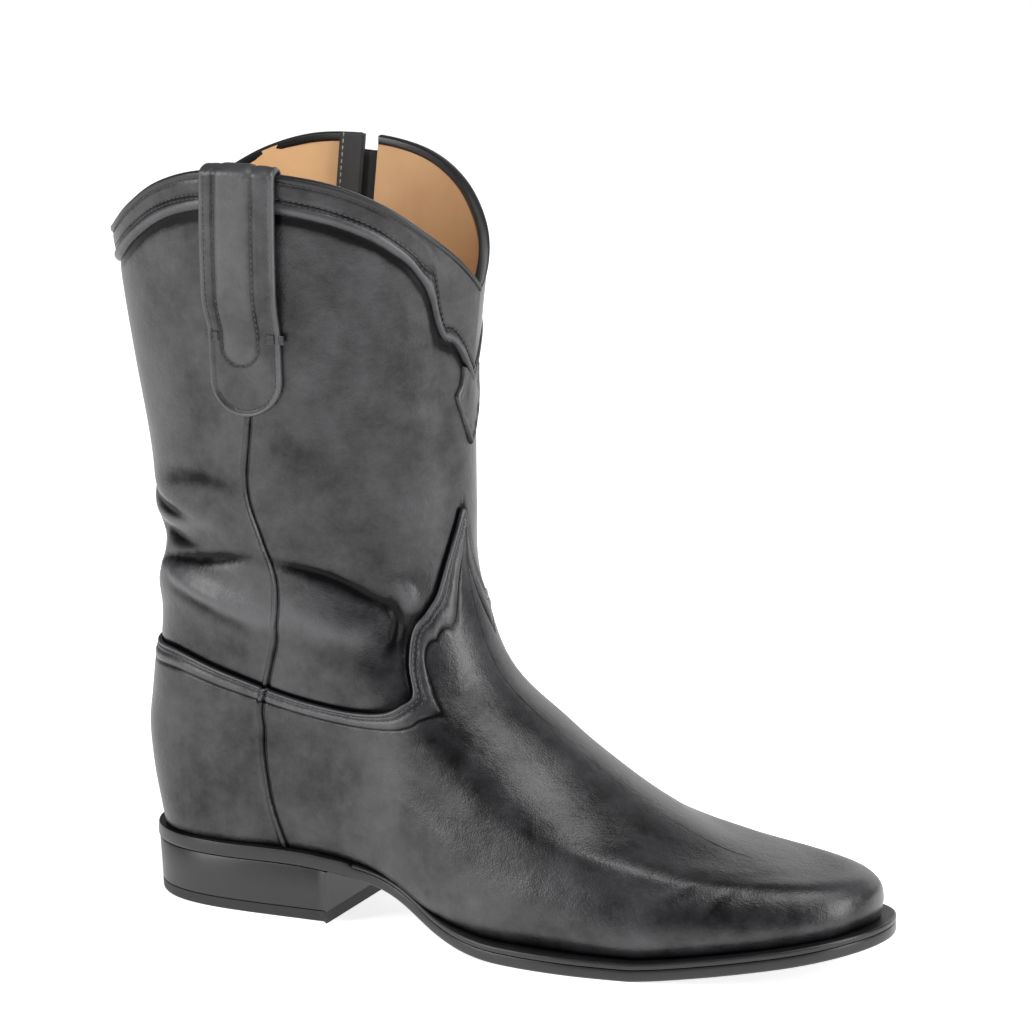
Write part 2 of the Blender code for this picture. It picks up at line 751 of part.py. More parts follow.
def make_pull_strap(collection, material):
    """The strap from its round sewn end up the shaft, over the collar and down inside."""
    half = STRAP_WIDTH / 2
    across = np.linspace(-1, 1, 7)
    sewn_lift = -OVERLAY / 2 + 2 * GAP
    inner_lift = -(WALL + OVERLAY / 2 + 2 * GAP)
    end_turn = np.radians(np.array([20, 38, 56, 73, 90]))
    end_depth = STRAP_OUTER_LENGTH - half * (1 - np.cos(end_turn))
    end_width = half * np.sin(end_turn)
    sewn_top = STRAP_OUTER_LENGTH - STRAP_SEWN_LENGTH
    leg_depth = np.array([sewn_top, sewn_top - 0.006, sewn_top - 0.014, 0.030, 0.015, 0.0])
    depth = np.concatenate([end_depth, leg_depth])
    width = np.concatenate([end_width, np.full(len(leg_depth), half)])
    stand = STRAP_STAND * smooth_step(0, 0.016, sewn_top - depth)
    rows = []
    for deep, wide, off in zip(depth, width, stand):
        level = level_below_collar(deep)
        angle = across_line(SEAM, np.full(len(across), level), across * wide)
        rows.append(leather_point(angle, level, sewn_lift + off))
    angle = across_line(SEAM, np.full(len(across), float(COLLAR)), across * half)
    outer = sewn_lift + STRAP_STAND
    middle = (outer + inner_lift) / 2
    reach = (outer - inner_lift) / 2
    for turn in np.radians([30, 60, 90, 120, 150]):
        rows.append(above_collar(angle, middle + reach * math.cos(turn), STRAP_ARCH * math.sin(turn)))
    for deep in np.linspace(0.0, STRAP_INNER_LENGTH, 5):
        level = level_below_collar(deep)
        angle = across_line(SEAM, np.full(len(across), level), across * half)
        rows.append(leather_point(angle, level, inner_lift))
    mesh_data = bmesh.new()
    put_grid(mesh_data, np.stack(rows), closed=False)
    strap = add_object("pull_strap", mesh_data, material, collection, closed=False)
    solidify(strap, STRAP_THICKNESS, 1)
    return strap


def zip_levels():
    """Levels of the upper's own rows along the zip, from its foot to its top stop."""
    level = upper_grid()[1][SLOT_FIRST_ROW:, ZIP_COLUMN]
    top = level_below_collar(ZIP_TOP_GAP, ZIP_LINE)
    below = level[level < top - 0.05]
    below[0] += 0.03
    return np.append(below, top)


def strip_rows(levels, across, lifts):
    """Rows of points beside the zip's line, at distances across it and lifts off the form."""
    return np.stack([leather_point(across_line(ZIP_LINE, np.full(len(across), level), across, -1),
                                   level, lifts) for level in levels])


def make_zip_tape(collection, material):
    """The tape in its slot, with the closed chain raised along it."""
    edge = ZIP_SLOT_HALF - GAP
    across = np.array([-edge, -CHAIN_HALF, -CHAIN_HALF * 0.8, CHAIN_HALF * 0.8, CHAIN_HALF, edge])
    tape = -OVERLAY
    lifts = np.array([tape, tape, tape + CHAIN_RISE, tape + CHAIN_RISE, tape, tape])
    rows = strip_rows(zip_levels(), across, lifts)[:, ::-1]
    mesh_data = bmesh.new()
    put_grid(mesh_data, rows, closed=False)
    strip = add_object("zip_tape", mesh_data, material, collection, closed=False)
    solidify(strip, TAPE_THICKNESS, -1)
    return strip


def make_zip_guard(collection, material):
    """Leather strip inside the shaft, behind the zip, with its tip above the collar."""
    across = np.linspace(CHAIN_HALF * 0.4, CHAIN_HALF * 0.4 + GUARD_WIDTH, 4)
    lift = -(WALL + OVERLAY / 2 + GAP)
    lifts = np.full(len(across), lift)
    levels = np.append(zip_levels()[:-1], COLLAR)
    rows = strip_rows(levels, across, lifts)
    angle = across_line(ZIP_LINE, np.full(len(across), float(COLLAR)), across, -1)
    rows = np.concatenate([rows, above_collar(angle, lift, GUARD_TIP)[None]])[:, ::-1]
    mesh_data = bmesh.new()
    put_grid(mesh_data, rows, closed=False)
    strip = add_object("zip_guard", mesh_data, material, collection, closed=False)
    solidify(strip, GUARD_THICKNESS, -1)
    return strip


def zip_frame():
    """Place of the slider on the closed chain: its axes are across, out and up."""
    level = level_below_collar(ZIP_TOP_GAP + SLIDER_LENGTH / 2, ZIP_LINE)
    angle = -line_angle(ZIP_LINE, level)
    place = leather_point(angle, level, -OVERLAY + CHAIN_RISE + GAP)
    out = form_normal(angle, level)
    up = leather_point(angle, level + 0.05) - leather_point(angle, level - 0.05)
    up = up - out * np.dot(up, out)
    up = up / np.linalg.norm(up)
    across = np.cross(out, up)
    turn = Matrix((across, out, up)).transposed()
    return Matrix.Translation(Vector(place)) @ turn.to_4x4()


def primitive(name, collection, matrix, material=None):
    """Names and places the primitive that was just added, with its scale applied."""
    thing = bpy.context.object
    thing.name = name
    thing.data.name = name
    bpy.ops.object.transform_apply(location=True, rotation=True, scale=True)
    for home in list(thing.users_collection):
        home.objects.unlink(thing)
    collection.objects.link(thing)
    thing.matrix_world = matrix
    if material:
        thing.data.materials.append(material)
    return thing


def box(name, collection, matrix, size, centre, material=None):
    bpy.ops.mesh.primitive_cube_add(size=1, location=centre, scale=size)
    return primitive(name, collection, matrix, material)


def rod(name, collection, matrix, radius, length, centre, material=None):
    """A cylinder along the local X axis."""
    bpy.ops.mesh.primitive_cylinder_add(vertices=ROD_SIDES, radius=radius, depth=length,
                                        location=centre, rotation=(0, math.pi / 2, 0))
    return primitive(name, collection, matrix, material)


def combine(thing, tool, operation):
    tool.hide_render = True
    tool.display_type = "WIRE"
    cut = thing.modifiers.new(tool.name, "BOOLEAN")
    cut.operation = operation
    cut.solver = "EXACT"
    cut.object = tool


def make_slider(collection, tools, material):
    """Slider body with two lugs and the pin between them."""
    frame = zip_frame()
    lug_across = EYE_WIDTH / 2 + PIN_CLEARANCE + LUG_THICKNESS / 2
    lug_top = PIN_HEIGHT + LUG_LENGTH / 2
    slider = box("zip_slider", collection, frame, (SLIDER_WIDTH, SLIDER_THICKNESS, SLIDER_LENGTH),
                 (0, SLIDER_THICKNESS / 2, 0), material)
    for side in (-1, 1):
        lug = box(f"slider_lug_{side + 1}", tools, frame, (LUG_THICKNESS, lug_top, LUG_LENGTH),
                  (side * lug_across, SLIDER_THICKNESS - JOIN + lug_top / 2, 0))
        combine(slider, lug, "UNION")
    pin = rod("slider_pin", tools, frame, PIN_RADIUS, 2 * lug_across,
              (0, SLIDER_THICKNESS + PIN_HEIGHT, 0))
    combine(slider, pin, "UNION")
    return slider


def make_pull(collection, tools, material):
    """The pull: an eye round the pin, a neck between the lugs and a flat tab."""
    frame = zip_frame() @ Matrix.Translation((0, SLIDER_THICKNESS + PIN_HEIGHT, 0))
    neck = LUG_LENGTH / 2 + NECK_REACH
    tab_length = PULL_LENGTH - neck
    pull = box("zip_pull", collection, frame, (PULL_WIDTH, PULL_THICKNESS, tab_length),
               (0, 0, -neck - tab_length / 2), material)
    round_tab = pull.modifiers.new("edges", "BEVEL")
    round_tab.width = PULL_THICKNESS * 0.3
    round_tab.segments = 2
    stem = box("pull_neck", tools, frame, (EYE_WIDTH, PULL_THICKNESS, neck + NECK_JOIN),
               (0, 0, -(neck + NECK_JOIN) / 2))
    combine(pull, stem, "UNION")
    eye = rod("pull_eye", tools, frame, EYE_RADIUS, EYE_WIDTH, (0, 0, 0))
    combine(pull, eye, "UNION")
    bore = rod("pull_bore", tools, frame, PIN_RADIUS + PIN_CLEARANCE, EYE_WIDTH * 2, (0, 0, 0))
    combine(pull, bore, "DIFFERENCE")
    return pull


def build():
    for thing in list(bpy.data.objects):
        bpy.data.objects.remove(thing)
    boot = bpy.data.collections.new("roper_boot")
    tools = bpy.data.collections.new("cutters")
    for collection in (boot, tools):
        bpy.context.scene.collection.children.link(collection)
    leather = new_material("upper_leather", (0.035, 0.035, 0.038), 0.38)
    edge = new_material("sole_edge", (0.02, 0.02, 0.022), 0.45)
    stacked = new_material("heel_stack", (0.02, 0.02, 0.022), 0.42)
    rubber = new_material("heel_rubber", (0.012, 0.012, 0.012), 0.7)
    welt_leather = new_material("welt_leather", (0.025, 0.025, 0.027), 0.42)
    lining = new_material("insole_leather", (0.62, 0.40, 0.24), 0.6)
    make_outsole(boot, edge)
    make_welt(boot, welt_leather)
    make_heel(boot, stacked, rubber)
    make_insole(boot, lining)
    make_upper(boot, leather)
    strap_leather = new_material("strap_leather", (0.04, 0.04, 0.043), 0.36)
    tape = new_material("zip_tape", (0.015, 0.015, 0.015), 0.7)
    metal = new_material("zip_metal", (0.32, 0.31, 0.30), 0.3, 1.0)
    guard_leather = new_material("guard_leather", (0.05, 0.05, 0.052), 0.5)
    make_pull_strap(boot, strap_leather)
    make_zip_tape(boot, tape)
    make_zip_guard(boot, guard_leather)
    make_slider(boot, tools, metal)
    make_pull(boot, tools, metal)


build()
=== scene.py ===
"""Looks of the roper boot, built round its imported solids.

Metres, X towards the toe, Y towards the inner (medial) side of the foot, Z up.
"""
import math

import bmesh
import bpy
import numpy as np
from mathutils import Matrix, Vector


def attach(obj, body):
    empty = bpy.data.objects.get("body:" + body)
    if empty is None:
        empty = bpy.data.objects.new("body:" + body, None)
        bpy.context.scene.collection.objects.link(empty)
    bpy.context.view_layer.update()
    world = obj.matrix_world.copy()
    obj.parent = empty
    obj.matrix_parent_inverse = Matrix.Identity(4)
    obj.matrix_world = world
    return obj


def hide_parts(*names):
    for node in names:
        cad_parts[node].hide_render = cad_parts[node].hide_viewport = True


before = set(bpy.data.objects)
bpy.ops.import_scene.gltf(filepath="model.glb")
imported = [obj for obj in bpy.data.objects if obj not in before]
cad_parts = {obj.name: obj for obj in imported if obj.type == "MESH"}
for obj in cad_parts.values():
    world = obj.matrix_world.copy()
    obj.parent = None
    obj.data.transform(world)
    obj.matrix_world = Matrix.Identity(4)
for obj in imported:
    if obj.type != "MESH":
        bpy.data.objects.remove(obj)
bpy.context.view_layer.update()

# Sizes, tables and form of the boot, as in the part's source
SOLE_LENGTH = 0.302
BALL_WIDTH = 0.102
HEEL_WIDTH = 0.067
HEEL_LENGTH = 0.085
HEEL_HEIGHT = 0.0214
TOE_SPRING = 0.0132
INSTEP_RISE = 0.120
SHAFT_RISE = 0.144
SHAFT_WIDTH = 0.102
FRONT_DIP = 0.0453

# Thicknesses of the pieces
SEAT_THICKNESS = 0.0055
FORE_THICKNESS = 0.0070
WELT_THICKNESS = 0.0023
WELT_END_THICKNESS = 0.0012
WELT_SETBACK = 0.010
WELT_GROWTH = 0.060
CAP_THICKNESS = 0.0045
INSOLE_THICKNESS = 0.0025
WALL = 0.0022
OVERLAY = 0.0012

# Clearances, margins and small widths
GAP = 0.0003
HEEL_MARGIN = 0.0005
HEEL_TAPER = 0.0012
ZIP_TOP_GAP = 0.006
CHAIN_HALF = 0.0027
GUARD_WIDTH = 0.011
GUARD_THICKNESS = 0.0013
GUARD_TIP = 0.0008
STRAP_WIDTH = 0.0295
STRAP_THICKNESS = 0.0022
STRAP_STAND = 0.0032
STRAP_ARCH = 0.0013
STRAP_OUTER_LENGTH = 0.0925
STRAP_SEWN_LENGTH = 0.031
STRAP_INNER_LENGTH = 0.046


# Overlap of pieces that are joined into one solid
JOIN = 0.0002
NECK_REACH = 0.0012
NECK_JOIN = 0.0010

BACK = -HEEL_LENGTH / 2
SEAT = HEEL_HEIGHT + SEAT_THICKNESS
WELT_START = BACK + HEEL_LENGTH + WELT_SETBACK

# Sole outline from its back end to its front end. The widths are shares of HEEL_WIDTH
# in the first four rows and of BALL_WIDTH in the others. End rows hold the end radius.
# station, lateral half width, medial half width
OUTLINE = np.array([
    (0.00, 0.500, 0.500),
    (0.06, 0.427, 0.427),
    (0.13, 0.498, 0.498),
    (0.25, 0.496, 0.484),
    (0.38, 0.338, 0.294),
    (0.50, 0.486, 0.358),
    (0.62, 0.533, 0.464),
    (0.74, 0.496, 0.490),
    (0.86, 0.410, 0.416),
    (0.95, 0.280, 0.275),
    (1.00, 0.284, 0.284),
])
OUTLINE_HEEL_ROWS = 4

# Stations between which the sole grows from its seat thickness to its forefoot thickness
THICKER_FROM = 0.30
THICKER_TO = 0.55

# Underside of the sole: station, share of HEEL_HEIGHT, share of TOE_SPRING
UNDERSIDE = np.array([
    (0.00, 1.000, 0.000),
    (0.12, 1.000, 0.000),
    (0.27, 0.977, 0.000),
    (0.36, 0.770, 0.000),
    (0.45, 0.234, 0.000),
    (0.52, 0.028, 0.000),
    (0.58, 0.000, 0.000),
    (0.72, 0.000, 0.000),
    (0.80, 0.000, 0.227),
    (0.90, 0.000, 0.590),
    (1.00, 0.000, 1.000),
])

# The upper is a stack of level rings, from the feather line (level 0) to the collar.
# Each ring runs from a back point to a front point. Their X is a share of SOLE_LENGTH from
# the sole's back, and their rise above the sole is a share of INSTEP_RISE. follow is how
# much of the sole's curve the ring keeps.
# back x, back rise, front x, front rise, follow
FOOT_RINGS = np.array([
    (0.013, 0.000, 0.978, 0.000, 1.00),
    (0.006, 0.076, 0.982, 0.057, 0.97),
    (-0.004, 0.192, 0.976, 0.113, 0.88),
    (-0.009, 0.325, 0.950, 0.148, 0.72),
    (-0.005, 0.442, 0.884, 0.166, 0.55),
    (-0.001, 0.542, 0.781, 0.215, 0.38),
    (0.005, 0.642, 0.678, 0.324, 0.22),
    (0.007, 0.742, 0.578, 0.471, 0.10),
    (0.004, 0.850, 0.483, 0.660, 0.03),
    (0.005, 1.000, 0.441, 0.946, 0.00),
])

# Fullness of the foot rings at seven shares of their length, for each side. The first
# three are shares of HEEL_WIDTH and the others of BALL_WIDTH.
KNOTS = np.array((0.0, 0.1, 0.3, 0.5, 0.7, 0.9, 1.0))
FOOT_HEEL_KNOTS = 3
FOOT_LATERAL = np.array([
    (1.045, 0.724, 0.473, 0.430, 0.498, 0.539, 0.618),
    (1.045, 0.731, 0.493, 0.448, 0.534, 0.569, 0.647),
    (1.015, 0.731, 0.504, 0.446, 0.525, 0.534, 0.559),
    (0.985, 0.724, 0.507, 0.426, 0.483, 0.488, 0.505),
    (0.925, 0.707, 0.507, 0.390, 0.469, 0.474, 0.425),
    (0.866, 0.687, 0.515, 0.358, 0.436, 0.441, 0.373),
    (0.806, 0.664, 0.522, 0.338, 0.392, 0.402, 0.363),
    (0.746, 0.642, 0.537, 0.338, 0.363, 0.373, 0.363),
    (0.701, 0.627, 0.552, 0.353, 0.355, 0.363, 0.373),
    (0.672, 0.619, 0.575, 0.373, 0.373, 0.377, 0.402),
])
FOOT_MEDIAL = np.array([
    (1.045, 0.724, 0.445, 0.302, 0.466, 0.539, 0.608),
    (1.045, 0.731, 0.470, 0.324, 0.500, 0.569, 0.637),
    (1.015, 0.731, 0.482, 0.326, 0.490, 0.534, 0.559),
    (0.985, 0.724, 0.490, 0.320, 0.449, 0.488, 0.505),
    (0.925, 0.707, 0.493, 0.314, 0.414, 0.460, 0.425),
    (0.866, 0.687, 0.500, 0.312, 0.373, 0.417, 0.373),
    (0.806, 0.664, 0.507, 0.314, 0.353, 0.382, 0.363),
    (0.746, 0.642, 0.522, 0.324, 0.345, 0.363, 0.363),
    (0.701, 0.627, 0.545, 0.343, 0.347, 0.358, 0.373),
    (0.672, 0.619, 0.575, 0.373, 0.373, 0.377, 0.402),
])

# Rings of the shaft, above the last foot ring, alike on both sides. Heights are shares of
# the way from that ring to the top, and the fullness is a share of SHAFT_WIDTH.
# back x, back height, front x, front height, then the seven knots
SHAFT_RINGS = np.array([
    (0.000, 0.175, 0.4355, 0.220, 0.441, 0.422, 0.407, 0.402, 0.397, 0.397, 0.412),
    (-0.013, 0.427, 0.4345, 0.463, 0.461, 0.451, 0.446, 0.441, 0.431, 0.422, 0.422),
    (-0.032, 0.720, 0.4370, 0.744, 0.490, 0.485, 0.485, 0.480, 0.466, 0.451, 0.441),
    (-0.050, 1.000, 0.4460, 1.000, 0.500, 0.500, 0.505, 0.500, 0.490, 0.475, 0.471),
])
THROAT = len(FOOT_RINGS) - 1
COLLAR = THROAT + len(SHAFT_RINGS)

# Drop of the collar's edge: degrees round from the front, share of FRONT_DIP
COLLAR_DROP = np.array([
    (0, 1.00),
    (15, 0.74),
    (30, 0.50),
    (45, 0.265),
    (60, 0.10),
    (75, 0.02),
    (90, 0.00),
    (105, 0.033),
    (120, 0.165),
    (135, 0.385),
    (150, 0.600),
    (180, 0.720),
])

# Side seam on the lateral side: level, degrees round from the front
SEAM = np.array([
    (0.0, 125.0),
    (2.0, 126.0),
    (4.0, 124.0),
    (5.5, 118.5),
    (7.0, 107.5),
    (8.0, 96.5),
    (8.8, 92.0),
    (9.3, 94.5),
    (9.9, 98.5),
    (10.8, 94.0),
    (13.0, 89.0),
])

# Line of the zip on the medial side, with the seam below it: level, degrees round
ZIP_LINE = np.array([
    (0.0, 125.0),
    (2.0, 125.5),
    (4.0, 120.5),
    (6.0, 111.0),
    (8.0, 101.0),
    (10.0, 94.0),
    (13.0, 85.0),
])

# Folds of the leather: depth in, negative for a ridge, half width, then the angle and level
# of the fold's start, middle and end
FOLDS = [
    (0.0042, 0.0085, 205, 8.10, 180, 8.55, 150, 8.45),
    (0.0022, 0.0075, 170, 8.75, 130, 9.10, 96, 8.95),
    (-0.0016, 0.0090, 176, 9.35, 140, 9.75, 112, 9.90),
    (-0.0018, 0.0080, 165, 7.55, 130, 8.00, 105, 7.70),
    (0.0020, 0.0090, 92, 8.95, 70, 9.00, 44, 8.20),
]


def hermite(stations, values, at):
    """Smooth curve through the values at the stations, held level past both ends."""
    stations = np.asarray(stations, float)
    at = np.clip(np.asarray(at, float), stations[0], stations[-1])
    values = np.broadcast_to(np.asarray(values, float), at.shape + stations.shape)
    gaps = np.diff(stations)
    rates = np.diff(values, axis=-1) / gaps
    slopes = np.empty(values.shape)
    slopes[..., 0] = rates[..., 0]
    slopes[..., -1] = rates[..., -1]
    weighed = rates[..., :-1] * gaps[1:] + rates[..., 1:] * gaps[:-1]
    slopes[..., 1:-1] = weighed / (gaps[1:] + gaps[:-1])
    low = np.clip(np.searchsorted(stations, at, side="right") - 1, 0, len(gaps) - 1)

    def pick(table, index):
        return np.take_along_axis(table, index[..., None], -1)[..., 0]

    u = (at - stations[low]) / gaps[low]
    rise = pick(values, low + 1) - pick(values, low)
    ease = u * u * (3 - 2 * u)
    leave = u * (1 - u) ** 2 * pick(slopes, low)
    arrive = u * u * (u - 1) * pick(slopes, low + 1)
    return pick(values, low) + rise * ease + gaps[low] * (leave + arrive)


def smooth_step(start, end, at):
    """Eased rise from 0 at the start to 1 at the end."""
    u = np.clip((np.asarray(at, float) - start) / (end - start), 0, 1)
    return u * u * (3 - 2 * u)


def sole_station(x):
    """Share of the sole's length, from its back."""
    return (np.asarray(x, float) - BACK) / SOLE_LENGTH


def sole_under(x):
    """Underside of the sole, over the floor."""
    station = sole_station(x)
    heel = hermite(UNDERSIDE[:, 0], UNDERSIDE[:, 1], station)
    toe = hermite(UNDERSIDE[:, 0], UNDERSIDE[:, 2], station)
    return np.maximum(heel * HEEL_HEIGHT + toe * TOE_SPRING, 0)


def sole_top(x):
    """Upper face of the sole's edge, which is the welt's top from the waist forward."""
    thicker = smooth_step(THICKER_FROM, THICKER_TO, sole_station(x))
    return sole_under(x) + SEAT_THICKNESS + (FORE_THICKNESS - SEAT_THICKNESS) * thicker


def sole_outline(angle, inset=0.0):
    """Plan point of the sole's edge at an angle round it, moved in by inset."""
    share = (1 + np.cos(angle)) / 2
    stations = OUTLINE[:, 0]
    widths = np.where(np.arange(len(OUTLINE)) < OUTLINE_HEEL_ROWS, HEEL_WIDTH, BALL_WIDTH)
    span = 2 * np.sqrt(stations * (1 - stations))
    fullness = []
    for side in (1, 2):
        half = OUTLINE[:, side] * widths
        ends = np.sqrt(half * SOLE_LENGTH / 2)
        fullness.append(np.where(span > 0, half / np.where(span > 0, span, 1), ends))
    lateral = hermite(stations, fullness[0], share)
    medial = hermite(stations, fullness[1], share)
    side = np.where(np.sin(angle) >= 0, lateral, medial)
    points = np.stack([BACK + SOLE_LENGTH * share, -side * np.sin(angle)], -1)
    return inset_plan(points, inset)


def inset_plan(points, inset):
    """Moves a closed plan outline in by a width, along its own normals."""
    ahead = np.roll(points, -1, axis=0) - np.roll(points, 1, axis=0)
    length = np.linalg.norm(ahead, axis=1, keepdims=True)
    normal = np.stack([ahead[:, 1], -ahead[:, 0]], -1) / length
    outward = points - points.mean(axis=0)
    if (normal * outward).sum() < 0:
        normal = -normal
    return points - normal * np.asarray(inset, float).reshape(-1, 1)


def ring_tables():
    """Back x, back z, front x, front z and follow of every ring, and its fullness."""
    toe_x = BACK + SOLE_LENGTH * FOOT_RINGS[0, 2]
    toe = float(sole_top(toe_x))
    foot = FOOT_RINGS
    ends = np.empty((COLLAR + 1, 5))
    ends[:THROAT + 1, 0] = BACK + SOLE_LENGTH * foot[:, 0]
    ends[:THROAT + 1, 1] = SEAT + INSTEP_RISE * foot[:, 1]
    ends[:THROAT + 1, 2] = BACK + SOLE_LENGTH * foot[:, 2]
    ends[:THROAT + 1, 3] = toe + INSTEP_RISE * foot[:, 3]
    ends[:THROAT + 1, 4] = foot[:, 4]
    top = SEAT + INSTEP_RISE + SHAFT_RISE
    shaft = SHAFT_RINGS
    ends[THROAT + 1:, 0] = BACK + SOLE_LENGTH * shaft[:, 0]
    ends[THROAT + 1:, 1] = ends[THROAT, 1] + (top - ends[THROAT, 1]) * shaft[:, 1]
    ends[THROAT + 1:, 2] = BACK + SOLE_LENGTH * shaft[:, 2]
    ends[THROAT + 1:, 3] = ends[THROAT, 3] + (top - ends[THROAT, 3]) * shaft[:, 3]
    ends[THROAT + 1:, 4] = 0
    widths = np.where(np.arange(len(KNOTS)) < FOOT_HEEL_KNOTS, HEEL_WIDTH, BALL_WIDTH)
    above = shaft[:, 4:] * SHAFT_WIDTH
    lateral = np.vstack([FOOT_LATERAL * widths, above])
    medial = np.vstack([FOOT_MEDIAL * widths, above])
    return ends, lateral, medial


ENDS, LATERAL, MEDIAL = ring_tables()
LEVELS = np.arange(COLLAR + 1)


def form_point(angle, level):
    """Point of the boot's outer form. Angle 0 is the front, positive on the lateral side."""
    angle, level = np.broadcast_arrays(np.asarray(angle, float), np.asarray(level, float))
    share = (1 + np.cos(angle)) / 2
    back_x, back_z, front_x, front_z, follow = (hermite(LEVELS, ENDS[:, k], level) for k in range(5))
    x = back_x + (front_x - back_x) * share
    chord = ENDS[0, 1] + (ENDS[0, 3] - ENDS[0, 1]) * share
    z = back_z + (front_z - back_z) * share + follow * (sole_top(x) - chord)
    turn = np.degrees(np.abs(np.arctan2(np.sin(angle), np.cos(angle))))
    drop = hermite(COLLAR_DROP[:, 0], COLLAR_DROP[:, 1], turn) * FRONT_DIP
    up = np.clip((level - THROAT) / (COLLAR - THROAT), 0, 1)
    z = z - drop * (up + smooth_step(0, 1, up)) / 2
    lateral = np.stack([hermite(LEVELS, LATERAL[:, k], level) for k in range(len(KNOTS))], -1)
    medial = np.stack([hermite(LEVELS, MEDIAL[:, k], level) for k in range(len(KNOTS))], -1)
    fullness = np.where((np.sin(angle) >= 0)[..., None], lateral, medial)
    y = -hermite(KNOTS, fullness, share) * np.sin(angle)
    return np.stack([x, y, z], -1)


def form_normal(angle, level):
    """Outward normal of the form."""
    step = 1e-3
    level = np.asarray(level, float)
    low = np.clip(level - step, 0, COLLAR)
    high = np.clip(level + step, 0, COLLAR)
    round_it = form_point(angle + step, level) - form_point(angle - step, level)
    up = form_point(angle, high) - form_point(angle, low)
    normal = np.cross(up, round_it)
    return normal / np.linalg.norm(normal, axis=-1, keepdims=True)


def fold_depth(points, folds):
    """How far the folds push the leather in at each point, negative on a ridge."""
    depth = np.zeros(points.shape[:-1])
    for deep, half_width, *stops in folds:
        ends = np.array(stops, float).reshape(3, 2)
        along = np.linspace(0, 2, 25)
        angle = hermite((0, 1, 2), np.radians(ends[:, 0]), along)
        line = form_point(angle, hermite((0, 1, 2), ends[:, 1], along))
        away = np.linalg.norm(points[..., None, :] - line, axis=-1)
        nearest = away.argmin(axis=-1)
        taper = np.sin(np.pi * (nearest + 1) / (len(along) + 1))
        depth += deep * taper * np.exp(-(away.min(axis=-1) / half_width) ** 2)
    return depth


def leather_point(angle, level, lift=0.0):
    """Point of the folded leather, lifted off the outer form by a height."""
    points = form_point(angle, level)
    height = np.asarray(lift, float) - fold_depth(points, FOLDS)
    return points + form_normal(angle, level) * height[..., None]


def line_angle(table, level):
    """Angle of a seam's line at a level."""
    return np.radians(hermite(table[:, 0], table[:, 1], level))


def angle_per_length(angle, level):
    """Angle that one metre round the form takes."""
    step = 1e-3
    move = form_point(angle + step, level) - form_point(angle - step, level)
    return 2 * step / np.linalg.norm(move, axis=-1)


def turn_line(table, angle, mirrored):
    """Level of a line that runs round the boot, at an angle."""
    turn = np.degrees(np.arctan2(np.sin(angle), np.cos(angle)))
    return hermite(table[:, 0], table[:, 1], np.abs(turn) if mirrored else turn)


def level_below_collar(depth, table=SEAM):
    """Level on a seam's line at a depth below the collar's edge."""
    levels = np.linspace(THROAT, COLLAR, 61)
    side = -1 if table is ZIP_LINE else 1
    height = form_point(side * line_angle(table, levels), levels)[:, 2]
    return float(np.interp(height[-1] - depth, height, levels))


# Lines of the dressed leather, and fineness of its panels.

# Edge of the vamp and counter: degrees round, positive on the lateral side, level
VAMP_EDGE = np.array([
    (-180, 5.65),
    (-163, 5.72),
    (-148, 5.92),
    (-126, 5.88),
    (-107, 5.90),
    (-95, 6.15),
    (-80, 6.65),
    (-69, 7.10),
    (-57, 7.60),
    (-49, 8.12),
    (-44, 8.40),
    (-34, 8.62),
    (-24, 8.78),
    (-8, 8.98),
    (-4, 9.20),
    (2, 9.60),
    (8, 10.08),
    (10, 10.02),
    (15, 9.68),
    (20, 9.34),
    (27, 8.98),
    (35, 8.74),
    (45, 8.44),
    (50, 8.12),
    (57, 7.60),
    (69, 7.10),
    (80, 6.65),
    (95, 6.15),
    (107, 5.90),
    (126, 5.88),
    (148, 5.92),
    (163, 5.72),
    (180, 5.65),
])

# Lower edge of the collar's padded band, alike on both sides: degrees round, level
BAND_EDGE = np.array([
    (0, 11.82),
    (5, 11.90),
    (10, 11.99),
    (15, 12.04),
    (22, 12.03),
    (24, 12.10),
    (28, 12.36),
    (34, 12.52),
    (44, 12.59),
    (60, 12.62),
    (180, 12.62),
])

# Leather drop below the band at the front: level, half width in degrees
DROP_SHAPE = np.array([
    (11.06, 0.0),
    (11.10, 1.8),
    (11.20, 5.2),
    (11.32, 9.0),
    (11.42, 12.0),
    (11.50, 13.5),
    (11.56, 12.2),
    (11.66, 10.2),
    (11.78, 9.0),
    (11.90, 8.6),
])

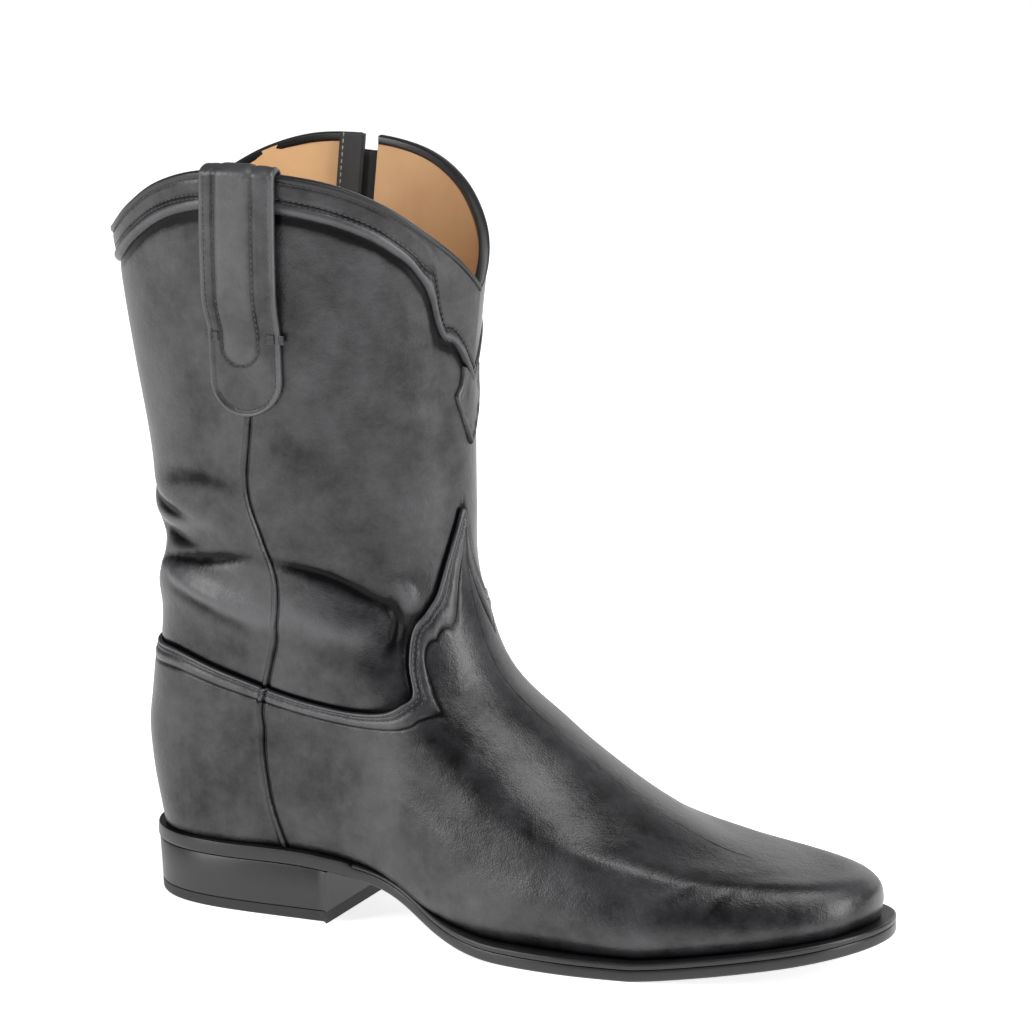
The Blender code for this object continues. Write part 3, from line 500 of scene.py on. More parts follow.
# Finer folds, in the same form as FOLDS
FINE_FOLDS = [
    (0.0021, 0.0021, 156, 8.38, 122, 8.78, 99, 9.03),
    (0.0021, 0.0021, 93, 9.06, 71, 8.95, 50, 8.73),
    (0.0020, 0.0023, 52, 8.84, 49, 8.60, 57, 8.12),
    (-0.0019, 0.0042, 156, 8.26, 120, 8.18, 92, 8.06),
    (-0.0010, 0.0050, 92, 8.30, 72, 8.25, 58, 8.45),
    (0.0011, 0.0030, 149, 8.20, 126, 7.90, 108, 7.72),
    (0.0019, 0.0030, 168, 9.95, 143, 9.50, 122, 9.31),
    (-0.0013, 0.0034, 158, 9.30, 136, 9.28, 111, 9.42),
    (0.0013, 0.0024, 158, 9.14, 139, 8.97, 124, 8.94),
    (0.0009, 0.0036, 144, 10.08, 120, 10.04, 99, 9.95),
    (-0.0011, 0.0032, 46, 9.12, 42, 8.90, 44, 8.66),
    (0.0004, 0.0012, 56, 2.25, 51, 2.80, 46, 3.35),
    (-0.0002, 0.0016, 58, 2.40, 53, 2.90, 48, 3.40),
    (0.0004, 0.0012, 50, 1.60, 46, 2.30, 40, 3.10),
    (-0.0002, 0.0016, 52, 1.70, 48, 2.40, 42, 3.15),
    (0.0014, 0.0026, -156, 8.40, -128, 8.72, -106, 8.88),
    (0.0012, 0.0026, -92, 9.00, -70, 8.95, -52, 8.74),
    (-0.0012, 0.0045, -154, 8.20, -126, 8.10, -106, 8.00),
    (0.0004, 0.0014, -55, 2.35, -50, 2.90, -45, 3.40),
    (0.0003, 0.0014, -49, 1.60, -45, 2.30, -40, 3.10),
]

MM = 0.001
FRONT_CUTS = 118
BACK_CUTS = 44
SEAM_OFFSETS = np.array([-4, -2.6, -1.8, -1.35, -1.05, -0.75, -0.4, 0, 0.4, 0.8, 1.2, 1.6, 2.6, 4]) * MM
ZIP_OFFSETS = np.array([-9, -7.6, -6.6, -6.0, -5.2, -4.8, -4.5, -1.2, -0.5, 0,
                        0.5, 1.2, 4.5, 4.8, 5.2, 6.0, 6.6, 7.6, 9]) * MM
ZIP_FOOT = 3.45
SEAM_TOP = 10.85
EDGE_ROWS = np.array([9, 8, 7.4, 7.0, 6.6, 5.8, 4.8, 3.9, 3.4, 3.1, 2.8, 2.4, 2.0, 1.7, 1.4, 1.0, 0.6, 0.3,
                      0.1, 0.0, 0.0]) * MM
BAND_ROWS_MM = np.array([0, 0.0, 0.25, 0.7, 1.3, 1.9, 2.5, 3.1, 3.7, 4.2, 4.6, 5.0, 5.4, 5.8, 6.2, 6.6, 7.2,
                         8.2]) * MM
FOOT_CUTS = 84
SHAFT_CUTS = 128
BAND_CUTS = 9
LINING_CUTS = 84
LINING_LIFT = -(WALL + OVERLAY / 2)


def across_line(table, level, across, side=1):
    """Angle at a distance across a seam's line, measured towards the back of the boot."""
    seam = line_angle(table, level)
    return side * (seam + across * angle_per_length(seam, level))


def above_collar(angle, lift, rise):
    """Point straight above the collar's edge."""
    edge = leather_point(angle, COLLAR, lift)
    up = edge - leather_point(angle, COLLAR - 0.05, lift)
    return edge + up / np.linalg.norm(up, axis=-1, keepdims=True) * np.asarray(rise)[..., None]


def side_angle(level, table, offsets):
    """Angles of one side's columns, from the front to the back, close together at its seam."""
    seam = line_angle(table, level)
    per_length = angle_per_length(seam, level)
    count = np.arange(level.shape[-1])
    middle = FRONT_CUTS + len(offsets)
    ahead_share = np.clip(count / FRONT_CUTS, 0, 1)
    behind_share = np.clip((count - middle + 1) / BACK_CUTS, 0, 1)
    ahead = (seam - offsets[-1] * per_length) * (0.7 * ahead_share + 0.3 * ahead_share ** 2)
    beside = seam + offsets[np.clip(count - FRONT_CUTS, 0, len(offsets) - 1)] * per_length
    after = seam + offsets[-1] * per_length
    behind = after + (math.pi - after) * behind_share
    return np.where(count < FRONT_CUTS, ahead, np.where(count < middle, beside, behind))


LATERAL_COUNT = FRONT_CUTS + len(SEAM_OFFSETS) + BACK_CUTS
MEDIAL_COUNT = FRONT_CUTS + len(ZIP_OFFSETS) + BACK_CUTS
RING_COUNT = LATERAL_COUNT + MEDIAL_COUNT - 2


def column_offsets():
    """Distance of every column from the lateral seam and from the zip's line, far ones as 1 m."""
    from_seam = np.full(RING_COUNT, 1.0)
    from_seam[FRONT_CUTS:FRONT_CUTS + len(SEAM_OFFSETS)] = SEAM_OFFSETS
    medial = np.full(MEDIAL_COUNT, 1.0)
    medial[FRONT_CUTS:FRONT_CUTS + len(ZIP_OFFSETS)] = ZIP_OFFSETS
    from_zip = np.full(RING_COUNT, 1.0)
    from_zip[LATERAL_COUNT:] = medial[-2:0:-1]
    return from_seam, from_zip


FROM_SEAM, FROM_ZIP = column_offsets()


def ring_angles(level):
    lateral = side_angle(level[:, :LATERAL_COUNT], SEAM, SEAM_OFFSETS)
    order = np.concatenate([level[:, :1], level[:, :LATERAL_COUNT - 1:-1], level[:, LATERAL_COUNT - 1:LATERAL_COUNT]], axis=1)
    medial = side_angle(order, ZIP_LINE, ZIP_OFFSETS)
    return np.concatenate([lateral, -medial[:, -2:0:-1]], axis=1)


def panel_grid(level_rows, first_level):
    """Angles and levels of a panel whose row levels depend on the angle round."""
    angle = ring_angles(np.full((1, RING_COUNT), float(first_level)))
    level = level_rows(angle)
    for _ in range(4):
        angle = ring_angles(level)
        level = level_rows(angle)
    return angle, level


def vamp_edge(angle):
    return turn_line(VAMP_EDGE, angle, False)


def band_edge(angle):
    return turn_line(BAND_EDGE, angle, True)


def level_per_length(angle, line):
    """Levels that one metre at right angles to a line takes, where the line passes."""
    level = line(angle)
    step = 1e-2
    move = form_point(angle, level + step) - form_point(angle, level - step)
    upright = 2 * step / np.linalg.norm(move, axis=-1)
    slope = (line(angle + step) - line(angle - step)) / (2 * step)
    slope = slope * angle_per_length(angle, level) / upright
    return upright * np.clip(np.sqrt(1 + slope * slope), 1, 2.4)


def dent(distance, middle, half_width):
    return np.exp(-((distance - middle) / half_width) ** 2)


def seam_lift(level):
    """Bead and groove of the lateral seam, and the same below the zip, for every column."""
    shown = 1 - smooth_step(SEAM_TOP - 0.1, SEAM_TOP, level)
    seam = 1.15 * MM * dent(FROM_SEAM, 0.45 * MM, 0.8 * MM) - 1.5 * MM * dent(FROM_SEAM, -1.05 * MM, 0.36 * MM)
    below = 1 - smooth_step(ZIP_FOOT - 0.1, ZIP_FOOT + 0.1, level)
    bead = 0.9 * MM * dent(FROM_ZIP, 0, 0.8 * MM)
    edge = (np.abs(FROM_ZIP) < 4.6 * MM) & (np.abs(FROM_ZIP) > 4.4 * MM)
    turned = np.where(edge, -1.5 * MM, 0) - 0.25 * MM * dent(np.abs(FROM_ZIP), 6.0 * MM, 0.5 * MM)
    return seam * shown + bead * below + turned * (1 - below)


def leather_wave(points):
    """Slow unevenness of leather after long use, in metres."""
    x, y, z = (points[..., k] for k in range(3))
    wave = np.sin(61 * x + 37 * y + 23 * z) + np.sin(-43 * x + 71 * y + 57 * z + 1.3)
    wave += 0.6 * np.sin(131 * x - 97 * y + 83 * z + 0.4) + 0.5 * np.sin(173 * x + 149 * y - 139 * z + 2.1)
    return wave * 0.00009


def dressed(angle, level, lift, folded=1.0):
    """Leather with its fine folds, and a colour value from them: up on rubbed ridges, down with painted shade in
    grooves.
    """
    base = form_point(angle, level)
    normal = form_normal(angle, level)
    coarse = fold_depth(base, FOLDS)
    fine = fold_depth(base, FINE_FOLDS) * folded
    points = base + normal * (lift - coarse - fine + leather_wave(base))[..., None]
    return points, -fine / (2 * MM)


def grid_faces(rows, columns, closed):
    row, column = np.meshgrid(np.arange(rows - 1), np.arange(columns if closed else columns - 1), indexing="ij")
    after = (column + 1) % columns
    return np.stack([row * columns + column, (row + 1) * columns + column,
                     (row + 1) * columns + after, row * columns + after], -1)


def mesh_piece(name, points, faces, material, body="boot", wear_and_painted_shade=None):
    """A finished piece from points and faces, riding on a body of the boot."""
    faces = faces.reshape(-1, 4)
    used, index = np.unique(faces, return_inverse=True)
    flat = points.reshape(-1, 3)[used]
    mesh = bpy.data.meshes.new(name)
    mesh.from_pydata(flat.tolist(), [], index.reshape(faces.shape).tolist())
    mesh.update()
    if wear_and_painted_shade is not None:
        # Colour value per point: paler on rubbed ridges and edges, painted shade in grooves and recesses.
        layer = mesh.attributes.new("wear_and_painted_shade", "FLOAT", "POINT")
        layer.data.foreach_set("value", np.ascontiguousarray(wear_and_painted_shade.reshape(-1)[used], np.float32))
    return place(name, mesh, material, body)


def place(name, mesh, material, body="boot"):
    if material:
        mesh.materials.clear()
        mesh.materials.append(material)
    mesh.name = name
    mesh.shade_smooth()
    thing = bpy.data.objects.new(name, mesh)
    bpy.context.scene.collection.objects.link(thing)
    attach(thing, body)
    return thing


def merged(mesh, distance=0.00002):
    """Joins doubled points and turns the faces of a closed mesh out."""
    data = bmesh.new()
    data.from_mesh(mesh)
    bmesh.ops.remove_doubles(data, verts=data.verts, dist=distance)
    bmesh.ops.recalc_face_normals(data, faces=data.faces)
    data.to_mesh(mesh)
    data.free()


def in_slot(level):
    """Faces of the panels that the zip's slot leaves out."""
    inner = np.abs(FROM_ZIP) < 4.6 * MM
    across = inner & np.roll(inner, -1)
    return across[None, :] & (level[:-1] > ZIP_FOOT) & (level[1:] > ZIP_FOOT)


# Materials

def linear(code):
    """A linear colour from an sRGB hex value."""
    parts = [int(code[k:k + 2], 16) / 255 for k in (1, 3, 5)]
    return tuple(c / 12.92 if c <= 0.04045 else ((c + 0.055) / 1.055) ** 2.4 for c in parts) + (1.0,)


def add_node(tree, kind, settings=None, **links):
    """A node with its settings. Each link or value is given by the input's name or number."""
    node = tree.nodes.new(kind)
    for key, value in (settings or {}).items():
        setattr(node, key, value)
    for key, value in links.items():
        socket = node.inputs[int(key[1:])] if key[0] == "i" and key[1:].isdigit() else node.inputs[key.replace("_", " ")]
        if isinstance(value, bpy.types.NodeSocket):
            tree.links.new(value, socket)
        else:
            socket.default_value = value
    return node


def new_finish(name, code, roughness, **sockets):
    material = bpy.data.materials.new(name)
    material.use_nodes = True
    tree = material.node_tree
    shader = tree.nodes["Principled BSDF"]
    shader.inputs["Base Color"].default_value = linear(code)
    shader.inputs["Roughness"].default_value = roughness
    for key, value in sockets.items():
        shader.inputs[key.replace("_", " ")].default_value = value
    place_in = add_node(tree, "ShaderNodeTexCoord")
    return material, tree, shader, place_in.outputs["Object"]


def black_calf(name, dark, light, roughness):
    """Black calf, drum dyed and waxed by hand: a close grain, cloudy where the wax has moved,
    paler where rubbed on ridges, darker with painted shade in fold and stitch grooves, with a soft shine."""
    material, tree, shader, where = new_finish(name, dark, roughness, Coat_Weight=0.12, Coat_Roughness=0.28)
    cloud = add_node(tree, "ShaderNodeTexNoise", Vector=where, Scale=26.0, Detail=5.0, Roughness=0.62)
    scuff = add_node(tree, "ShaderNodeTexNoise", Vector=where, Scale=150.0, Detail=6.0, Roughness=0.7)
    # The point value paints shade into grooves and recesses and makes rubbed ridges paler.
    worn_and_shaded = add_node(tree, "ShaderNodeAttribute", {"attribute_name": "wear_and_painted_shade"})
    both = add_node(tree, "ShaderNodeMath", {"operation": "MULTIPLY_ADD"}, i0=scuff.outputs["Fac"], i1=0.35,
                    i2=cloud.outputs["Fac"])
    amount = add_node(tree, "ShaderNodeMath", {"operation": "MULTIPLY_ADD"}, i0=worn_and_shaded.outputs["Fac"], i1=0.8,
                      i2=both.outputs[0])
    blend = add_node(tree, "ShaderNodeMapRange", Value=amount.outputs[0], From_Min=0.50, From_Max=1.15)
    colour = add_node(tree, "ShaderNodeMix", {"data_type": "RGBA"}, Factor=blend.outputs[0], i6=linear(dark),
                      i7=linear(light))
    tree.links.new(colour.outputs[2], shader.inputs["Base Color"])
    shine = add_node(tree, "ShaderNodeMapRange", Value=amount.outputs[0], From_Min=0.4, From_Max=1.0,
                     To_Min=roughness - 0.05, To_Max=roughness + 0.12)
    tree.links.new(shine.outputs[0], shader.inputs["Roughness"])
    # The shine follows the same value: lower on the dull clouds, where the wax is thin, and lower in the grooves that
    # carry painted shade.
    wax = add_node(tree, "ShaderNodeMapRange", Value=amount.outputs[0], From_Min=0.33, From_Max=0.95,
                   To_Min=0.06, To_Max=0.88)
    tree.links.new(wax.outputs[0], shader.inputs["Specular IOR Level"])
    # Pores about 0.6 mm apart, drawn a little coarser than on real calf so that they show.
    grain = add_node(tree, "ShaderNodeTexVoronoi", {"feature": "SMOOTH_F1"}, Vector=where, Scale=1500.0,
                     Smoothness=0.6)
    pebble = add_node(tree, "ShaderNodeTexNoise", Vector=where, Scale=420.0, Detail=4.0)
    creases = add_node(tree, "ShaderNodeTexNoise", Vector=where, Scale=95.0, Detail=3.0, Roughness=0.55)
    fine = add_node(tree, "ShaderNodeMath", {"operation": "MULTIPLY_ADD"}, i0=grain.outputs["Distance"], i1=0.5,
                    i2=pebble.outputs["Fac"])
    whole = add_node(tree, "ShaderNodeMath", {"operation": "MULTIPLY_ADD"}, i0=creases.outputs["Fac"], i1=1.6,
                     i2=fine.outputs[0])
    bump = add_node(tree, "ShaderNodeBump", Strength=0.5, Distance=0.00028, Height=whole.outputs[0])
    tree.links.new(bump.outputs[0], shader.inputs["Normal"])
    return material


def plain_finish(name, dark, light, roughness, scale, depth, **sockets):
    """A finish with one mottling in its colour and one unevenness in its surface."""
    material, tree, shader, where = new_finish(name, dark, roughness, **sockets)
    mottle = add_node(tree, "ShaderNodeTexNoise", Vector=where, Scale=scale, Detail=6.0, Roughness=0.6)
    colour = add_node(tree, "ShaderNodeMix", {"data_type": "RGBA"}, Factor=mottle.outputs["Fac"], i6=linear(dark),
                      i7=linear(light))
    tree.links.new(colour.outputs[2], shader.inputs["Base Color"])
    rough = add_node(tree, "ShaderNodeTexNoise", Vector=where, Scale=scale * 8, Detail=4.0)
    bump = add_node(tree, "ShaderNodeBump", Strength=0.4, Distance=depth, Height=rough.outputs["Fac"])
    tree.links.new(bump.outputs[0], shader.inputs["Normal"])
    return material


CALF = black_calf("waxed_calf_upper", "#060608", "#2a2a2e", 0.36)
STRAP_CALF = black_calf("waxed_calf_strap", "#09090a", "#313134", 0.38)
# Binding cut from the same calf and rolled over the edge, pressed smooth.
BINDING = plain_finish("rolled_calf_binding", "#0b0b0c", "#1b1b1d", 0.36, 220.0, 0.00006)
# Pigskin lining, vegetable tanned: pale tan, dull, with faint pores.
LINING = plain_finish("pigskin_lining", "#c99b6b", "#dbb283", 0.62, 60.0, 0.00012)
SOCK = plain_finish("pigskin_sock", "#bd9060", "#cfa677", 0.6, 60.0, 0.00012)
# Split leather behind the zip, dyed black and left dull.
GUARD = plain_finish("dyed_split_guard", "#1b1b1c", "#2b2b2c", 0.6, 260.0, 0.00012)
# Leather edge, sanded, inked black and waxed on a wheel: satin, faintly streaked.
SOLE_EDGE = plain_finish("inked_sole_edge", "#0a0a0b", "#161618", 0.36, 130.0, 0.00010)
WELT_EDGE = plain_finish("inked_welt", "#0c0c0d", "#19191b", 0.36, 170.0, 0.00010)
HEEL_EDGE = plain_finish("inked_heel_stack", "#0c0c0d", "#19191b", 0.36, 110.0, 0.00008)
# Moulded rubber top piece: matt, nearly black.
HEEL_RUBBER = plain_finish("moulded_rubber_lift", "#0f0f10", "#1a1a1b", 0.62, 300.0, 0.00010)
# Twisted polyester thread, waxed: slightly paler than the leather, with a low shine.
THREAD = plain_finish("waxed_thread", "#2a2a2c", "#45454a", 0.5, 900.0, 0.00005)
PALE_THREAD = plain_finish("pale_thread", "#8d8678", "#a89f8f", 0.6, 900.0, 0.00005)
# Polyester tape, woven and dyed black.
TAPE = plain_finish("woven_zip_tape", "#101011", "#1d1d1f", 0.85, 1200.0, 0.00015, Sheen_Weight=0.15)
# Moulded nylon chain.
CHAIN = plain_finish("moulded_zip_chain", "#161617", "#222224", 0.42, 400.0, 0.00004)
# Zinc slider and pull, die cast and plated in dark nickel.
NICKEL = plain_finish("dark_nickel_plate", "#77736e", "#8a8680", 0.28, 300.0, 0.00002, Metallic=1.0)


# Stitches and zip teeth, each laid along lines by Geometry Nodes

def along_lines_tree(name, toothed):
    """Repeats one stitch or one tooth along every line of the input."""
    tree = bpy.data.node_groups.new(name, "GeometryNodeTree")
    face = tree.interface
    face.new_socket("Lines", in_out="INPUT", socket_type="NodeSocketGeometry")
    for label in ("Pitch", "Length", "Width", "Height"):
        face.new_socket(label, in_out="INPUT", socket_type="NodeSocketFloat")
    face.new_socket("Finish", in_out="INPUT", socket_type="NodeSocketMaterial")
    face.new_socket("Pieces", in_out="OUTPUT", socket_type="NodeSocketGeometry")
    given = tree.nodes.new("NodeGroupInput").outputs
    curve = add_node(tree, "GeometryNodeMeshToCurve", Mesh=given["Lines"])
    spaced = add_node(tree, "GeometryNodeResampleCurve", {"mode": "LENGTH"}, Curve=curve.outputs[0],
                      Length=given["Pitch"])
    tangent = add_node(tree, "GeometryNodeInputTangent")
    turned = add_node(tree, "FunctionNodeAlignRotationToVector", {"axis": "X"}, Vector=tangent.outputs[0])
    if toothed:
        outward = add_node(tree, "GeometryNodeInputNamedAttribute", {"data_type": "FLOAT_VECTOR"},
                           Name="out")
        turned = add_node(tree, "FunctionNodeAlignRotationToVector", {"axis": "Z", "pivot_axis": "X"},
                          Rotation=turned.outputs[0], Vector=outward.outputs[0])
    size = add_node(tree, "ShaderNodeCombineXYZ", X=given["Length"], Y=given["Width"], Z=given["Height"])
    if toothed:
        shape = add_node(tree, "GeometryNodeMeshCube", Size=size.outputs[0])
        scale = (1.0, 1.0, 1.0)
    else:
        shape = add_node(tree, "GeometryNodeMeshUVSphere", Segments=6, Rings=5, Radius=0.5)
        scale = size.outputs[0]
    laid = add_node(tree, "GeometryNodeInstanceOnPoints", Points=spaced.outputs[0], Instance=shape.outputs[0],
                    Rotation=turned.outputs[0], Scale=scale)
    real = add_node(tree, "GeometryNodeRealizeInstances", Geometry=laid.outputs[0])
    done = add_node(tree, "GeometryNodeSetMaterial", Geometry=real.outputs[0], Material=given["Finish"])
    out = tree.nodes.new("NodeGroupOutput")
    tree.links.new(done.outputs[0], out.inputs["Pieces"])
    return tree


STITCH_TREE = along_lines_tree("stitches_along_lines", False)
TOOTH_TREE = along_lines_tree("teeth_along_lines", True)


def laid_along(name, lines, tree, finish, sizes, outs=None):
    """One plain mesh of a piece repeated along lines. sizes: pitch, length, width, height."""
    points = np.concatenate(lines)
    edges = []
    start = 0
    for line in lines:
        edges += [(start + k, start + k + 1) for k in range(len(line) - 1)]
        start += len(line)
    mesh = bpy.data.meshes.new(name)
    mesh.from_pydata(points.tolist(), edges, [])
    if outs is not None:
        layer = mesh.attributes.new("out", "FLOAT_VECTOR", "POINT")
        layer.data.foreach_set("vector", np.ascontiguousarray(np.concatenate(outs).reshape(-1), np.float32))
    source = bpy.data.objects.new(name + "_lines", mesh)
    bpy.context.scene.collection.objects.link(source)
    repeat = source.modifiers.new("repeat", "NODES")
    repeat.node_group = tree
    ids = {item.name: item.identifier for item in tree.interface.items_tree if item.in_out == "INPUT"}
    for label, value in zip(("Pitch", "Length", "Width", "Height"), sizes):
        repeat[ids[label]] = value
    repeat[ids["Finish"]] = finish
    shown = source.evaluated_get(bpy.context.evaluated_depsgraph_get())
    result = bpy.data.meshes.new_from_object(shown)
    bpy.data.objects.remove(source)
    return place(name, result, None)


def runs(points, keep):
    """The stretches of a line of points that are kept."""
    breaks = np.flatnonzero(np.diff(keep.astype(int))) + 1
    parts = np.split(np.arange(len(points)), breaks)
    return [points[part] for part in parts if keep[part[0]] and len(part) > 2]


def clear_of_zip(angle, level, distance=7 * MM):
    """Where a line round the boot is further than a distance from the zip."""
    zip_angle = -line_angle(ZIP_LINE, level)
    away = np.abs(angle - zip_angle) / angle_per_length(angle, level)
    return away > distance


# Foot panel: vamp and counter

def foot_level(angle):
    edge = vamp_edge(angle)
    per_length = level_per_length(angle, vamp_edge)
    start = edge - 10 * MM * per_length
    rise = np.linspace(0, 1, FOOT_CUTS)
    rows = [start[min(k, len(start) - 1)] * rise[k] for k in range(FOOT_CUTS)]
    for k, deep in enumerate(EDGE_ROWS):
        row = min(FOOT_CUTS + k, len(edge) - 1)
        rows.append(edge[row] - deep * per_length[row])
    return np.array(rows)


def border_lift(deep):
    """Height of the vamp's leather by its distance from the edge."""
    lift = OVERLAY / 2 + 0.35 * MM * dent(deep, 5.0 * MM, 1.5 * MM)
    lift = lift - 0.45 * MM * dent(deep, 7.2 * MM, 0.5 * MM) - 0.3 * MM * dent(deep, 1.7 * MM, 0.4 * MM)
    lift = lift - 0.3 * MM * dent(deep, 3.1 * MM, 0.4 * MM)
    return lift - 0.5 * MM * np.clip(1 - deep / (0.6 * MM), 0, 1) ** 2


def make_foot():
    angle, level = panel_grid(foot_level, 4.0)
    lift = np.full(level.shape, OVERLAY / 2)
    lift[FOOT_CUTS:] = border_lift(EDGE_ROWS)[:, None]
    lift[-1] = -OVERLAY / 2 - 0.4 * MM
    lift = lift + seam_lift(level)
    rise = np.clip(level / 0.35, 0, 1)
    points, wear_and_painted_shade = dressed(angle, level, lift, smooth_step(0, 0.8, level))
    bottom = form_point(angle[0], 0.0)
    points[0, :, 2] = sole_top(bottom[:, 0]) + GAP
    faces = grid_faces(*level.shape, True)
    keep = ~in_slot(level)
    # Paler on the rubbed edge and on the puffed strip 5 mm in, painted shade in the stitch groove 7.2 mm in.
    wear_and_painted_shade[FOOT_CUTS:] += (0.5 * dent(EDGE_ROWS, 0.5 * MM, 0.5 * MM) - 0.5 * dent(EDGE_ROWS, 7.2 * MM, 0.6 * MM)
                         + 0.25 * dent(EDGE_ROWS, 5 * MM, 1.4 * MM))[:, None]
    # Painted shade low on the panel, in the gap over the welt.
    wear_and_painted_shade = wear_and_painted_shade - 0.6 * (1 - rise)
    foot = mesh_piece("vamp_and_counter", points, faces[keep], CALF, wear_and_painted_shade=wear_and_painted_shade)
    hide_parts("upper")
    return foot


def shaft_level(angle):
    low = vamp_edge(angle) - 4 * MM * level_per_length(angle, vamp_edge)
    high = band_edge(angle) + 3 * MM * level_per_length(angle, band_edge)
    share = np.linspace(0, 1, SHAFT_CUTS)
    eased = share + 0.06 * np.sin(4 * math.pi * share) / (4 * math.pi) * -4
    rows = []
    for k in range(SHAFT_CUTS):
        row = min(k, len(low) - 1)
        rows.append(low[row] + (high[row] - low[row]) * eased[k])
    return np.array(rows)


def make_shaft():
    angle, level = panel_grid(shaft_level, 9.0)
    from_vamp = (level - vamp_edge(angle)) / level_per_length(angle, vamp_edge)
    from_band = (band_edge(angle) - level) / level_per_length(angle, band_edge)
    lift = -OVERLAY / 2 - 0.9 * MM * dent(from_vamp, 0, 1.7 * MM) - 0.3 * MM * dent(from_band, 0.3 * MM, 1.6 * MM)
    points, wear_and_painted_shade = dressed(angle, level, lift + seam_lift(level))
    # Painted shade: darker along the vamp's edge, where the shaft dips under it, and in a stripe under the band's
    # roll.
    wear_and_painted_shade = wear_and_painted_shade - 0.9 * dent(from_vamp, 0, 2 * MM) - 1.2 * dent(from_band, 0.8 * MM, 2.6 * MM)
    faces = grid_faces(*level.shape, True)
    return mesh_piece("shaft", points, faces[~in_slot(level)], CALF, wear_and_painted_shade=wear_and_painted_shade)


def band_level(angle):
    edge = band_edge(angle)
    per_length = level_per_length(angle, band_edge)
    rows = []
    for k, high in enumerate(BAND_ROWS_MM):
        row = min(k, len(edge) - 1)
        rows.append(edge[row] + high * per_length[row])
    for share in np.linspace(0, 1, BAND_CUTS + 1)[1:]:
        rows.append(rows[len(BAND_ROWS_MM) - 1] * (1 - share) + COLLAR * share)
    return np.array(rows)


def band_lift(high):
    """Height of the collar band's leather by its distance above the band's edge."""
    lift = OVERLAY / 2 + 0.55 * MM * dent(high, 2.6 * MM, 1.25 * MM)
    lift = lift - 0.5 * MM * dent(high, 4.7 * MM, 0.4 * MM) - 0.35 * MM * dent(high, 6.1 * MM, 0.4 * MM)
    return lift - 1.0 * MM * np.clip(1 - high / (1.3 * MM), 0, 1) ** 2


def make_band():
    angle, level = panel_grid(band_level, 12.6)
    from_edge = (level - band_edge(angle)) / level_per_length(angle, band_edge)
    lift = band_lift(from_edge)
    lift[0] = -OVERLAY / 2 - 0.9 * MM
    to_top = (COLLAR - level) / level_per_length(angle, band_edge)
    lift = lift - 0.35 * MM * dent(to_top, 2.2 * MM, 0.5 * MM) + seam_lift(level)
    points, wear_and_painted_shade = dressed(angle, level, lift)
    # Paler on the band's roll, painted shade over its two stitch rows.
    wear_and_painted_shade = wear_and_painted_shade + 0.45 * dent(from_edge, 2.8 * MM, 1.2 * MM) - 0.4 * dent(from_edge, 5.4 * MM, 1.0 * MM)
    faces = grid_faces(*level.shape, True)
    return mesh_piece("collar_band", points, faces[~in_slot(level)], CALF, wear_and_painted_shade=wear_and_painted_shade)


def make_drop():
    """Shaped drop of leather below the band at the front, its edges turned under."""
    levels = np.linspace(DROP_SHAPE[0, 0], DROP_SHAPE[-1, 0], 40)
    half = np.radians(np.interp(levels, DROP_SHAPE[:, 0], DROP_SHAPE[:, 1]))
    half = np.maximum(half, np.radians(0.15))
    share = np.array([-1, -1, -0.96, -0.88, -0.78, -0.66, -0.5, -0.25, 0, 0.25, 0.5, 0.66, 0.78, 0.88, 0.96, 1, 1])
    level = np.repeat(levels[:, None], len(share), axis=1)
    angle = half[:, None] * share
    per_length = angle_per_length(angle, level)
    to_side = half[:, None] * (1 - np.abs(share)) / per_length
    to_tip = (level - DROP_SHAPE[0, 0]) * 0.041
    inside = np.minimum(to_side, to_tip * 0.8)
    lift = OVERLAY / 2 - 1.0 * MM * np.clip(1 - inside / (0.9 * MM), 0, 1) ** 2
    lift = lift + 0.45 * MM * dent(inside, 2.0 * MM, 0.8 * MM) - 0.3 * MM * dent(inside, 3.4 * MM, 0.4 * MM)
    lift[:, (0, -1)] = -OVERLAY / 2 - 0.4 * MM
    lift[0] = -OVERLAY / 2 - 0.4 * MM
    points, wear_and_painted_shade = dressed(angle, level, lift)
    # Paler on the drop's raised strip, with the painted shade of the fold grooves from dressed.
    return mesh_piece("collar_drop", points, grid_faces(*level.shape, False), CALF,
                      wear_and_painted_shade=wear_and_painted_shade + 0.4 * dent(inside, 2.0 * MM, 0.8 * MM))


def collar_angles():
    level = np.full((1, RING_COUNT), float(COLLAR))
    return ring_angles(level)[0]


def make_binding():
    """Narrow leather rolled over the collar's edge, from outside to inside."""
    angle = collar_angles()
    per_length = level_per_length(angle, lambda a: np.full_like(a, COLLAR - 0.02))
    outer = OVERLAY / 2 + 0.45 * MM
    inner = LINING_LIFT - 0.3 * MM
    middle, reach = (outer + inner) / 2, (outer - inner) / 2
    rows = []
    for deep, less in ((1.9, 0.5), (1.7, 0.12), (1.0, 0.0), (0.3, 0.0)):
        rows.append(leather_point(angle, COLLAR - deep * MM * per_length, outer - less * MM))
    for turn in np.radians(np.arange(15, 180, 15)):
        rows.append(above_collar(angle, np.full(len(angle), middle + reach * math.cos(turn)),
                                 np.full(len(angle), 0.75 * MM * math.sin(turn))))
    for deep, less in ((0.3, 0.0), (1.6, 0.0), (2.6, 0.1), (2.9, 0.4)):
        rows.append(leather_point(angle, COLLAR - deep * MM * per_length, inner + less * MM))
    points = np.stack(rows)
    faces = grid_faces(len(rows), len(angle), True)
    keep = ~in_slot(np.full((len(rows), len(angle)), float(COLLAR)))
    return mesh_piece("topline_binding", points, faces[keep], BINDING)


